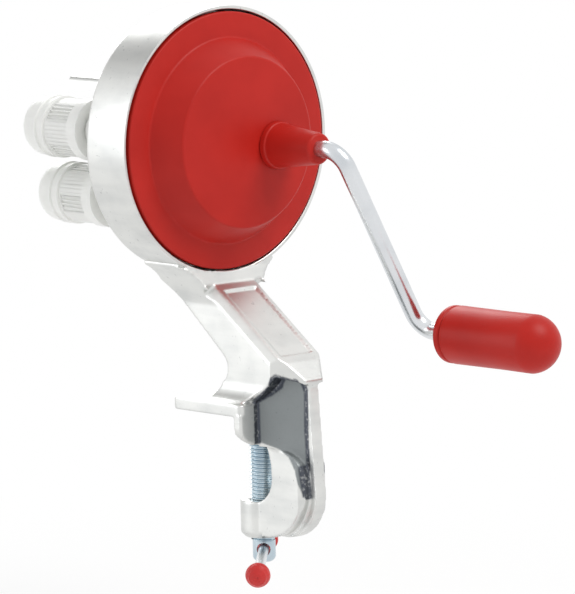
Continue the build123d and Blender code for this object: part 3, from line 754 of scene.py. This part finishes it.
@dataclass
class Casting:
    """The aluminium casting: the gear drum, the slanting arm, the shelf and the hooked clamp."""

    lip_reach: float = 2.9 * MM
    back_reach: float = 14.0 * MM
    rim_round: float = 0.7 * MM
    back_round: float = 2.2 * MM
    wall: float = 1.6 * MM
    plate: float = 4.0 * MM
    arm_top: float = 70.0 * MM
    joint_z: float = 44.0 * MM
    grain: float = 0.50 * MM
    face_budget: int = 150_000
    skin: float = 0.25 * MM
    hidden_radius: float = 61.0 * MM
    panel_top: Point = (-3.0 * MM, 57.8 * MM)
    panel_low: Point = (42.4 * MM, 25.2 * MM)
    panel_half: float = 9.6 * MM
    panel_margin: float = 5.0 * MM
    panel_taper: float = 0.55
    panel_sink: float = 0.8 * MM
    panel_slope: float = 0.9 * MM
    panel_skin: float = 0.45 * MM
    web_back: float = 22.0
    web_heights: Point = (-46.0, 24.0)
    web_halves: Point = (2.1, 15.5)
    flange_half: float = 13.2
    flange_front: float = 26.5
    mark_blend: float = 0.5
    # How softly the painted shade lines along the fillets fade out, in millimetres.
    line_blend: float = 0.6
    # The web's border seen from the side, in millimetres: each corner's x and z, and the reach of the
    # painted shade line on each side of the edge that starts there.
    web_border: list[tuple[float, float, float, float]] = field(
        default_factory=lambda: [
            (25.4, -12.4, 0.9, 0.9),
            (25.2, 6.6, 1.2, 1.0),
            (30.7, 10.2, 1.4, 1.0),
            (35.6, 13.9, 1.2, 1.0),
            (37.3, 18.0, 1.0, 0.9),
            (38.6, 19.1, 1.1, 1.0),
            (45.6, 16.6, 1.0, 1.6),
            (46.9, 12.5, 0.6, 1.9),
            (46.6, -7.0, 0.5, 1.9),
            (47.2, -24.0, 0.5, 1.6),
            (48.4, -36.0, 0.0, 0.0),
            (46.3, -30.3, 0.0, 0.0),
            (44.6, -24.0, 0.0, 0.0),
            (40.7, -18.4, 0.0, 0.0),
            (33.3, -14.9, 0.0, 0.0),
        ]
    )

    def build(self) -> None:
        """Builds the drum and the arm."""
        low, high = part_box("body_casting")
        cover = Turned.of("gear_cover")
        bush = Turned.of("crank_bush")
        self.front = cover.start + self.lip_reach
        self.radius = (high.y - low.y) / 2
        self.axis_z = high.z - self.radius
        self.back = bush.start + self.back_reach
        seat(self.drum(), "frame", Finish.CASTING, "cast_aluminium", "body_casting")
        seat(self.arm(), "frame", Finish.CASTING, "cast_aluminium", "clamp_casting")

    def drum(self) -> bpy.types.Object:
        """The gear drum with its back plate."""
        r = self.radius
        depth = self.front - self.back
        shell = softened(
            [(self.plate, 0.1 * MM), (self.plate, r - self.wall), (depth, r - self.wall), (depth, r)],
            self.rim_round,
        )
        shell += softened([(depth, r), (0, r), (0, 0.1 * MM)], self.back_round)[1:]
        return lathe("drum", shell, (self.back, 0, self.axis_z), segments=240, closed=True)

    def arm(self) -> bpy.types.Object:
        """The arm, shelf and clamp hook, with the soft corners that a casting has."""
        shape = bmesh.new()
        for node in ("body_casting", "clamp_casting"):
            shape.from_mesh(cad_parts[node].data)
        bmesh.ops.remove_doubles(shape, verts=shape.verts, dist=5e-6)
        meeting = [
            face for face in shape.faces if all(abs(v.co.z - self.joint_z) < 2e-6 for v in face.verts)
        ]
        bmesh.ops.delete(shape, geom=meeting, context="FACES_ONLY")
        bmesh.ops.holes_fill(shape, edges=cut_off(shape, self.arm_top))
        thing = meshed("arm", shape)
        remesh = thing.modifiers.new("grain", "REMESH")
        remesh.mode = "VOXEL"
        remesh.voxel_size = self.grain
        soften = thing.modifiers.new("soften", "SMOOTH")
        soften.factor = 0.5
        soften.iterations = 10
        thing = self.applied(thing)
        ratio = self.face_budget / max(1, 2 * len(thing.data.polygons))
        if ratio < 1:
            thin = thing.modifiers.new("thin", "DECIMATE")
            thin.ratio = ratio
            thing = self.applied(thing)
        for vertex in thing.data.vertices:
            spoke = Vector((0, vertex.co.y, vertex.co.z - self.axis_z))
            if spoke.length < self.radius + self.skin and vertex.co.x < self.front + 1 * MM:
                spoke.length = self.hidden_radius
                vertex.co.y = spoke.y
                vertex.co.z = spoke.z + self.axis_z
        self.sink_panel(thing)
        self.mark_web(thing)
        smooth(thing, 60.0)
        return thing

    def sink_panel(self, thing: bpy.types.Object) -> None:
        """Sinks the middle of the arm's front panel, which leaves a raised frame round it."""
        start = Vector((self.panel_top[0], 0, self.panel_top[1]))
        run = Vector((self.panel_low[0], 0, self.panel_low[1])) - start
        length = run.length
        run.normalize()
        out = Vector((-run.z, 0, run.x))
        for vertex in thing.data.vertices:
            place = vertex.co - start
            if abs(place.dot(out)) > self.panel_skin:
                continue
            along = place.dot(run)
            end = length - self.panel_margin - along
            inside = min(
                self.panel_half - abs(vertex.co.y),
                along - self.panel_margin,
                end,
                (end + self.panel_half - abs(vertex.co.y)) * self.panel_taper,
            )
            share = min(1.0, max(0.0, inside / self.panel_slope + 0.5))
            vertex.co -= out * self.panel_sink * share

    def mark_web(self, thing: bpy.types.Object) -> None:
        """Marks where the clamp's web is left as cast, and the lines of painted shade along its
        fillets.
        """
        raw = thing.data.attributes.new("as_cast", "FLOAT", "POINT")
        lines = thing.data.attributes.new("fillet_shade", "FLOAT", "POINT")
        bottom, top = self.web_heights
        inner, outer = self.web_halves
        for index, vertex in enumerate(thing.data.vertices):
            x, y, z = (value / MM for value in vertex.co)
            if x < self.web_back or not bottom < z < top or not inner < abs(y) < outer:
                continue
            depth, line = self.web_place(Vector((x, z)))
            if abs(y) > self.flange_half and x < self.flange_front:
                depth = -1.0
            raw.data[index].value = min(1.0, max(0.0, depth / self.mark_blend + 0.5))
            lines.data[index].value = line

    def web_place(self, spot: Vector) -> tuple[float, float]:
        """How a point lies to the web's border, seen from the side, in millimetres.

        Args:
            spot: The point's x and z.

        Returns:
            The depth inside the border, below 0 outside it, and the share of a painted shade line.
        """
        nearest = 99.0
        inside = False
        line = 0.0
        border = self.web_border
        for (ax, az, inner, outer), (bx, bz, _in, _out) in zip(border, border[1:] + border[:1]):
            if (az > spot.y) != (bz > spot.y):
                if spot.x < ax + (spot.y - az) * (bx - ax) / (bz - az):
                    inside = not inside
            a, b = Vector((ax, az)), Vector((bx, bz))
            on, share = intersect_point_line(spot.to_3d(), a.to_3d(), b.to_3d())
            on = a if share < 0 else b if share > 1 else on.to_2d()
            gap = (spot - on).length
            nearest = min(nearest, gap)
            if inner + outer > 0:
                leftward = (b - a).x * (spot - a).y - (b - a).y * (spot - a).x > 0
                reach = outer if leftward else inner
                line = max(line, min(1.0, max(0.0, (reach - gap) / self.line_blend + 0.5)))
        return (nearest if inside else -nearest), line

    @staticmethod
    def applied(thing: bpy.types.Object) -> bpy.types.Object:
        """Applies an object's modifiers and gives it back."""
        mesh = evaluated_mesh(thing)
        thing.modifiers.clear()
        thing.data = mesh
        return thing


# ------------------------------------------------------------------ red parts


@dataclass
class Cover:
    """The red cover: a flat ring, a cone and a flat disc; the crank's off-centre hole is not cut in
    it.
    """

    ring_inner: float = 47.5 * MM
    disc_radius: float = 39.4 * MM
    wall: float = 2.2 * MM
    seam: float = 0.35 * MM
    rise: float = 14.0 * MM
    corner: float = 0.9 * MM

    def build(self) -> None:
        """Builds the cover."""
        place = Turned.of("gear_cover")
        depth = place.length
        ring = depth - self.rise
        edge = place.radius - self.seam
        outer = softened(
            [
                (0, edge),
                (ring, edge),
                (ring, self.ring_inner),
                (depth, self.disc_radius),
                (depth, 0.0),
            ],
            self.corner,
        )
        inner = softened(
            [
                (depth - self.wall, 0.0),
                (depth - self.wall, self.disc_radius - self.wall),
                (ring - self.wall, self.ring_inner - self.wall),
                (ring - self.wall, edge - self.wall),
                (0, edge - self.wall),
            ],
            self.corner,
        )
        cover = lathe("cover", outer + inner, place.origin, segments=256, closed=True)
        seat(cover, "frame", Finish.RED, "red_plastic", "gear_cover")


@dataclass
class CrankSet:
    """The crank: a tapered red hub, a bent steel rod and the red grip that turns on it."""

    rod_radius: float = 4.0 * MM
    bend_radius: float = 9.8 * MM
    elbow_after_hub: float = 13.4 * MM
    grip_reach: float = 3.3 * MM
    sleeve: float = 5.2 * MM
    sleeve_step: float = 3.0 * MM
    collar: float = 2.6 * MM
    nose_radius: float = 6.4 * MM
    nose_bevel: float = 0.8 * MM
    flange_round: float = 0.5 * MM
    grip_dome: float = 11.5 * MM
    grip_ring: float = 4.0 * MM

    def build(self) -> None:
        """Builds the hub, the rod and the grip."""
        self.hub()
        self.rod()
        self.grip()

    def hub(self) -> None:
        """The hub that drives the crank rod through the cover."""
        place = Turned.of("crank_hub")
        length = place.length
        collar_end = self.sleeve + self.collar
        outline = softened(
            [
                (0, self.rod_radius),
                (0, place.radius - self.sleeve_step),
                (self.sleeve, place.radius - self.sleeve_step),
                (self.sleeve, place.radius),
                (collar_end, place.radius - 0.3 * MM),
                (collar_end + 0.4 * MM, place.radius - 0.9 * MM),
                (length - self.nose_bevel, self.nose_radius + 0.85 * MM),
                (length, self.nose_radius),
                (length, self.rod_radius),
            ],
            self.flange_round,
        )
        thing = lathe("hub", outline, place.origin, segments=96, closed=True)
        seat(thing, "crank", Finish.RED, "red_plastic", "crank_hub")

    def rod(self) -> None:
        """The bent rod, swept along its own line."""
        hub = Turned.of("crank_hub")
        plug = Turned.of("grip_plug")
        low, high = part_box("crank_rod")
        elbow_x = hub.end + self.elbow_after_hub
        corners = [
            Vector((low.x, hub.y, hub.z)),
            Vector((elbow_x, hub.y, hub.z)),
            Vector((elbow_x + self.grip_reach, plug.y, plug.z)),
            Vector((high.x, plug.y, plug.z)),
        ]
        path = [corners[0]]
        for before, corner, after in zip(corners, corners[1:], corners[2:]):
            path += self.bend(before, corner, after)
        path.append(corners[-1])
        grower = Growth("crank_bar", {"Radius": self.rod_radius})
        holder = traced("rod_path", path)
        round_wire = grower.add(
            "GeometryNodeCurvePrimitiveCircle", Resolution=48, Radius=grower.size("Radius")
        )
        swept = grower.sweep(grower.take(holder), round_wire.outputs[0])
        thing = grower.grow(swept, Finish.PLATED)
        bpy.data.objects.remove(holder)
        seat(thing, "crank", Finish.PLATED, "plated_steel", "crank_rod")

    def bend(self, before: Vector, corner: Vector, after: Vector, steps: int = 14) -> list[Vector]:
        """The arc that a bend of the rod follows.

        Args:
            before: The corner before this one.
            corner: Where the two straights would meet.
            after: The corner after this one.
            steps: How many lines make the bend.

        Returns:
            Points along the bend.
        """
        back = (before - corner).normalized()
        on = (after - corner).normalized()
        half = back.angle(on) / 2
        centre = corner + (back + on).normalized() * (self.bend_radius / math.sin(half))
        start = corner + back * (self.bend_radius / math.tan(half)) - centre
        end = corner + on * (self.bend_radius / math.tan(half)) - centre
        turn = start.angle(end)
        axis = start.cross(end).normalized()
        return [centre + Matrix.Rotation(turn * s / steps, 3, axis) @ start for s in range(steps + 1)]

    def grip(self) -> None:
        """The grip, with its separate end ring and its domed nose."""
        place = Turned.of("grip")
        length = place.length
        r = place.radius
        dome_r = (r**2 + self.grip_dome**2) / (2 * self.grip_dome)
        edge = math.degrees(math.asin(min(1.0, r / dome_r)))
        outline = softened([(1.0 * MM, r - 4 * MM), (0, r - 0.8 * MM), (1.2 * MM, r)], 0.4 * MM)
        outline += [(length * 0.5, r - 0.15 * MM)]
        outline += arc((length - dome_r, 0), dome_r, edge, 0.0, 18)
        thing = lathe("grip_shell", outline, place.origin, segments=96)
        seat(thing, "handle", Finish.RED, "red_plastic", "grip")
        plug = Turned.of("grip_plug")
        ring = self.grip_ring
        outline = softened(
            [
                (plug.length, self.rod_radius + 0.1 * MM),
                (0, self.rod_radius + 0.1 * MM),
                (0, r - 1.2 * MM),
                (1.0 * MM, r - 0.1 * MM),
                (ring - 0.8 * MM, r - 0.1 * MM),
                (ring, r - 1.0 * MM),
                (ring, r - 3.9 * MM),
                (plug.length, r - 4.1 * MM),
            ],
            0.35 * MM,
        )
        thing = lathe("grip_end", outline, plug.origin, segments=96, closed=True)
        seat(thing, "handle", Finish.RED, "red_plastic", "grip_plug")


# ------------------------------------------------------------------ clamp


@dataclass
class ClampScrew:
    """The clamp screw with its rolled thread and the cross hole in its head."""

    pitch: float = 1.75 * MM
    thread_depth: float = 1.0 * MM
    thread_end: float = -60.5 * MM
    journal_radius: float = 3.0 * MM
    journal_length: float = 6.0 * MM
    flank_share: float = 0.44
    crest_half: float = 0.14 * MM
    crest_round: float = 0.04 * MM
    rooted: float = 0.2 * MM

    def build(self) -> None:
        """Builds the screw's thread and head."""
        low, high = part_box("clamp_screw")
        self.x = (low.x + high.x) / 2
        self.radius = (high.x - low.x) / 2
        shoulder = high.z - self.journal_length
        thread = self.thread(shoulder - 1.0 * MM)
        seat(self.core(high.z, shoulder), "screw", Finish.BLUED, "blued_steel", "clamp_screw")
        seat(thread, "screw", Finish.BLUED, "blued_steel")
        seat(self.head(), "screw", Finish.BLUED, "blued_steel")

    def core(self, top: float, shoulder: float) -> bpy.types.Object:
        """The core of the threaded length and the journal that the foot turns on."""
        root = self.radius - self.thread_depth
        foot = top - self.thread_end + 0.6 * MM
        outline = softened(
            [
                (0, 0),
                (0, self.journal_radius),
                (top - shoulder, self.journal_radius),
                (top - shoulder, root),
                (foot, root),
                (foot, 0),
            ],
            0.3 * MM,
        )
        return lathe("screw_core", outline, (self.x, 0, top), (0, 0, -1), segments=64)

    def thread(self, top: float) -> bpy.types.Object:
        """The thread: a ridge swept along a right-hand helix."""
        turns = (top - self.thread_end) / self.pitch
        grower = Growth(
            "screw_thread",
            {
                "Turns": float(turns),
                "Height": top - self.thread_end,
                "Root": self.radius - self.thread_depth,
            },
        )
        helix = grower.add(
            "GeometryNodeCurveSpiral",
            Resolution=48,
            Rotations=grower.size("Turns"),
            Start_Radius=grower.size("Root"),
            End_Radius=grower.size("Root"),
            Height=grower.size("Height"),
        )
        flank = self.pitch * self.flank_share
        crest = self.thread_depth - self.crest_round
        outline = [
            (-self.rooted, -flank),
            (crest, -self.crest_half),
            (self.thread_depth, 0.0),
            (crest, self.crest_half),
            (-self.rooted, flank),
        ]
        holder = traced("ridge", ((-out, up, 0.0) for out, up in outline), closed=True)
        upright = grower.add(
            "GeometryNodeSetCurveNormal", {"mode": "Z_UP"}, Curve=helix.outputs[0]
        )
        placed = grower.add(
            "GeometryNodeTransform",
            Geometry=grower.sweep(upright.outputs[0], grower.take(holder)),
            Translation=(self.x, 0.0, self.thread_end),
        )
        thing = grower.grow(placed.outputs[0], Finish.BLUED)
        bpy.data.objects.remove(holder)
        return thing

    def head(self) -> bpy.types.Object:
        """The plain head below the thread, with the cross hole for the tommy bar."""
        shape = bmesh.new()
        shape.from_mesh(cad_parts["clamp_screw"].data)
        bmesh.ops.remove_doubles(shape, verts=shape.verts, dist=1e-6)
        cut_off(shape, self.thread_end)
        thing = meshed("screw_head", shape)
        smooth(thing, 35.0)
        return thing


@dataclass
class TommyBar:
    """The sliding tommy bar's two turned knobs."""

    radius: float = 5.75 * MM
    neck: float = 3.1 * MM
    bar_radius: float = 2.4 * MM
    dimple: float = 0.5 * MM
    rings: int = 5
    ring_start: float = 132.0
    ring_sweep: float = 112.0
    notch_place: float = 0.93
    notch_depth: float = 0.12 * MM
    end_flat: float = 0.25 * MM

    def build(self) -> None:
        """Builds a knob at each end of the bar."""
        near = sum(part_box("tommy_knob_near"), Vector()) / 2
        far = sum(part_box("tommy_knob_far"), Vector()) / 2
        outward = (near - far).normalized()
        for end, centre, way in (("near", near, outward), ("far", far, -outward)):
            knob = self.knob(f"knob_{end}", centre, way)
            seat(knob, "tommy", Finish.RED_BALL, "red_plastic", f"tommy_knob_{end}")

    def knob(self, name: str, centre: Vector, outward: Vector) -> bpy.types.Object:
        """One knob: a waist, a ball turned in shallow steps and a dimple in its end.

        Args:
            name: The knob's name.
            centre: Its middle.
            outward: The direction from the bar to the knob.

        Returns:
            The knob.
        """
        r = self.radius
        outline = [(-r, self.bar_radius), (-r, self.neck), (-r + 1.0 * MM, self.neck + 0.6 * MM)]
        for ring in range(self.rings + 1):
            angle = math.radians(self.ring_start - self.ring_sweep * ring / self.rings)
            outline.append((r * math.cos(angle), r * math.sin(angle)))
            if ring < self.rings:
                share = (ring + self.notch_place) / self.rings
                notch = math.radians(self.ring_start - self.ring_sweep * share)
                outline.append((r * math.cos(notch), (r - self.notch_depth) * math.sin(notch)))
        outline.append((r - self.end_flat, self.dimple * 1.6))
        outline.append((r - self.end_flat - self.dimple, 0.0))
        return lathe(name, outline, centre, outward, segments=72)


# ------------------------------------------------------------------ rollers


@dataclass
class FeedRollers:
    """The two milky rollers, with fine grip ribs round their barrels."""

    ribs: int = 44
    rib_radius: float = 0.34 * MM
    rib_sunk: float = 0.78
    barrel_start: float = 20.2 * MM
    barrel_length: float = 15.4 * MM
    barrel_drop: float = 1.05 * MM

    def build(self) -> None:
        """Dresses the rollers and grows their ribs."""
        for node, body in (("upper_roller", "roller_top"), ("lower_roller", "roller_low")):
            paints.dress(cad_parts[node], Finish.MILKY)
            seat(self.grip_ribs(node), body, Finish.MILKY, "white_plastic")

    def grip_ribs(self, node: str) -> bpy.types.Object:
        """Fine ribs round a roller's barrel.

        Args:
            node: The roller's node.

        Returns:
            The ribs, as one mesh.
        """
        place = Turned.of(node)
        grower = Growth(
            f"{node}_ribs",
            {
                "Count": self.ribs,
                "Ring": place.radius - self.barrel_drop - self.rib_radius * self.rib_sunk,
                "Rib": self.rib_radius,
                "Length": self.barrel_length,
            },
        )
        ring = grower.add(
            "GeometryNodeMeshCircle", Vertices=grower.size("Count"), Radius=grower.size("Ring")
        )
        rib = grower.add(
            "GeometryNodeMeshCylinder",
            Vertices=8,
            Radius=grower.size("Rib"),
            Depth=grower.size("Length"),
        )
        spread = grower.add(
            "GeometryNodeInstanceOnPoints", Points=ring.outputs[0], Instance=rib.outputs[0]
        )
        turned = grower.add(
            "GeometryNodeTransform",
            Geometry=spread.outputs[0],
            Rotation=(0.0, math.pi / 2, 0.0),
            Translation=(
                place.start + self.barrel_start + self.barrel_length / 2,
                place.y,
                place.z,
            ),
        )
        return grower.grow(turned.outputs[0], Finish.MILKY)


# ------------------------------------------------------------------ what stays as modelled


CARRIED = {
    "forming_hood": Finish.CASTING,
    "crank_bush": Finish.MILKY,
    "upper_roller_bush": Finish.MILKY,
    "lower_roller_bush": Finish.MILKY,
    "counter_gear_pin": Finish.PLATED,
    "counter_gear_clip": Finish.SPRING,
    "crank_pinion": Finish.GEAR,
    "counter_gear": Finish.GEAR,
    "upper_roller_gear": Finish.GEAR,
    "lower_roller_gear": Finish.GEAR,
    "upper_roller_shaft": Finish.PLATED,
    "lower_roller_shaft": Finish.PLATED,
    "blade_rotor": Finish.MILKY,
    "rotor_nut": Finish.MILKY,
    "grip_washer": Finish.PLATED,
    "clamp_foot": Finish.PLATED,
    "tommy_bar": Finish.PLATED,
}


def dress_carried_nodes() -> None:
    """Gives the nodes that stay as they are modelled their finishes."""
    for node, finish in CARRIED.items():
        paints.dress(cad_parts[node], finish)
        log.info("%s: as modelled, %s", node, finish.name.lower())


# ------------------------------------------------------------------ studio


@dataclass
class Studio:
    """A pale floor, soft lamps and the camera at the photograph's angle."""

    picture_width: int = 575
    picture_height: int = 594
    focal_pixels: float = 5660.0
    distance: float = 2.6
    azimuth: float = 47.7
    elevation: float = 7.5
    roll: float = 1.3
    aim: tuple[float, float, float] = (-6.5 * MM, 0.0, 123.1 * MM)
    aim_pixel: Point = (226.0, 140.4)
    sensor: float = 36.0
    floor_drop: float = 31.0 * MM
    floor_grey: float = 0.93
    floor_glow: float = 0.78
    glow_reach: Point = (0.12, 0.42)
    sky_strength: float = 0.55
    doorway: Point = (180.0, 44.0)
    doorway_edge: Point = (24.0, 12.0)
    mirror_strength: float = 0.98
    doorway_depth: float = 0.55
    lamps: list[tuple[str, Colour, float, float, tuple]] = field(
        default_factory=lambda: [
            ("key", (1.0, 0.99, 0.97), 13.0, 0.8, (0.95, 0.30, 1.30)),
            ("fill", (0.97, 0.98, 1.0), 5.0, 1.0, (-0.9, -1.3, 0.35)),
            ("rim", (1.0, 1.0, 1.0), 7.0, 0.8, (-1.3, 0.75, 0.9)),
        ]
    )

    def build(self) -> None:
        """Builds the whole studio."""
        self.floor()
        self.world()
        for name, colour, power, size, place in self.lamps:
            self.lamp(name, colour, power, size, Vector(place))
        self.camera()

    def floor_white(self) -> bpy.types.Material:
        """A pale floor that keeps the object's shadow and turns pure white further off."""
        recipe = Recipe("floor_white")
        matt = recipe.node(
            "ShaderNodeBsdfPrincipled",
            inputs={
                "Base Color": (self.floor_grey,) * 3,
                "Roughness": 0.9,
                "Specular IOR Level": 0.0,
            },
        )
        white = recipe.node("ShaderNodeEmission", inputs={"Color": (1, 1, 1), "Strength": 1.0})
        away = recipe.node(
            "ShaderNodeVectorMath",
            {"operation": "LENGTH"},
            {0: recipe.place()},
            output="Value",
        )
        seen, mirrored, through = recipe.rays()
        glow = away.within(*self.glow_reach) * (1.0 - self.floor_glow) + self.floor_glow
        share = glow * (seen + mirrored + through)
        both = recipe.node("ShaderNodeMixShader", inputs={0: share, 1: matt, 2: white})
        recipe.node("ShaderNodeOutputMaterial", inputs={"Surface": both})
        return recipe.material

    def floor(self) -> None:
        """The floor, low enough for the clamp screw to be wound right down above it."""
        low, _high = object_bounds()
        reach = 6.0
        z = low.z - self.floor_drop
        corners = [(-reach, -reach, z), (reach, -reach, z), (reach, reach, z), (-reach, reach, z)]
        thing = new_piece("floor", corners, [(0, 1, 2, 3)])
        thing.data.materials.append(self.floor_white())
        thing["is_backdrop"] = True

    def world(self) -> None:
        """White all round, dimmer as a light, with a dark doorway that only polish shows."""
        recipe = Recipe("studio", "worlds")
        seen, mirrored, through = recipe.rays()
        heading = recipe.node("ShaderNodeTexCoord", output="Generated")
        azimuth, height = (math.radians(angle) for angle in self.doorway)
        towards = (
            math.cos(azimuth) * math.cos(height),
            math.sin(azimuth) * math.cos(height),
            math.sin(height),
        )
        facing = recipe.node(
            "ShaderNodeVectorMath", {"operation": "DOT_PRODUCT"}, {0: heading, 1: towards}, "Value"
        )
        door = facing.within(*(math.cos(math.radians(angle)) for angle in self.doorway_edge))
        mirror_light = self.mirror_strength - door * self.doorway_depth
        white = seen + through
        strength = white + (1.0 - white) * (
            mirrored * mirror_light + (1.0 - mirrored) * self.sky_strength
        )
        back = recipe.node("ShaderNodeBackground", inputs={"Color": (1, 1, 1), "Strength": strength})
        recipe.node("ShaderNodeOutputWorld", inputs={"Surface": back})
        bpy.context.scene.world = recipe.material

    def lamp(self, name: str, colour: Colour, power: float, size: float, place: Vector) -> None:
        """One soft square lamp, aimed at the object.

        Args:
            name: The lamp's name.
            colour: Its colour.
            power: Its power, in watts.
            size: The length of its side.
            place: Where it stands.
        """
        data = bpy.data.lights.new(name, "AREA")
        data.shape = "SQUARE"
        data.size = size
        data.energy = power
        data.color = colour
        thing = stand(name, data)
        thing.location = place
        aim = Vector(self.aim) - place
        thing.rotation_euler = aim.to_track_quat("-Z", "Y").to_euler()

    def camera(self) -> None:
        """The camera, turned so that the drum's centre falls where the photograph has it."""
        azimuth, elevation = math.radians(self.azimuth), math.radians(self.elevation)
        forward = Vector(
            (
                -math.sin(azimuth) * math.cos(elevation),
                math.cos(azimuth) * math.cos(elevation),
                -math.sin(elevation),
            )
        )
        level = Vector((math.cos(azimuth), math.sin(azimuth), 0.0))
        rise = level.cross(forward)
        roll = math.radians(self.roll)
        right = level * math.cos(roll) - rise * math.sin(roll)
        up = rise * math.cos(roll) + level * math.sin(roll)
        across = (self.aim_pixel[0] - self.picture_width / 2) / self.focal_pixels
        down = (self.aim_pixel[1] - self.picture_height / 2) / self.focal_pixels
        place = Vector(self.aim) - self.distance * (forward + right * across - up * down)
        data = bpy.data.cameras.new("camera")
        data.sensor_fit = "HORIZONTAL"
        data.sensor_width = self.sensor
        data.lens = self.sensor * self.focal_pixels / self.picture_width
        data.clip_end = 50.0
        thing = stand("camera", data)
        turned = Matrix((right, up, -forward)).transposed().to_4x4()
        thing.matrix_world = Matrix.Translation(place) @ turned
        bpy.context.scene.camera = thing
        bpy.context.scene.view_settings.view_transform = "Standard"


# ------------------------------------------------------------------ the whole object


def main() -> None:
    """Builds every sub-assembly and the studio round them."""
    Casting().build()
    Cover().build()
    CrankSet().build()
    FeedRollers().build()
    ClampScrew().build()
    TommyBar().build()
    dress_carried_nodes()
    Studio().build()


if __name__ == "__main__":
    main()
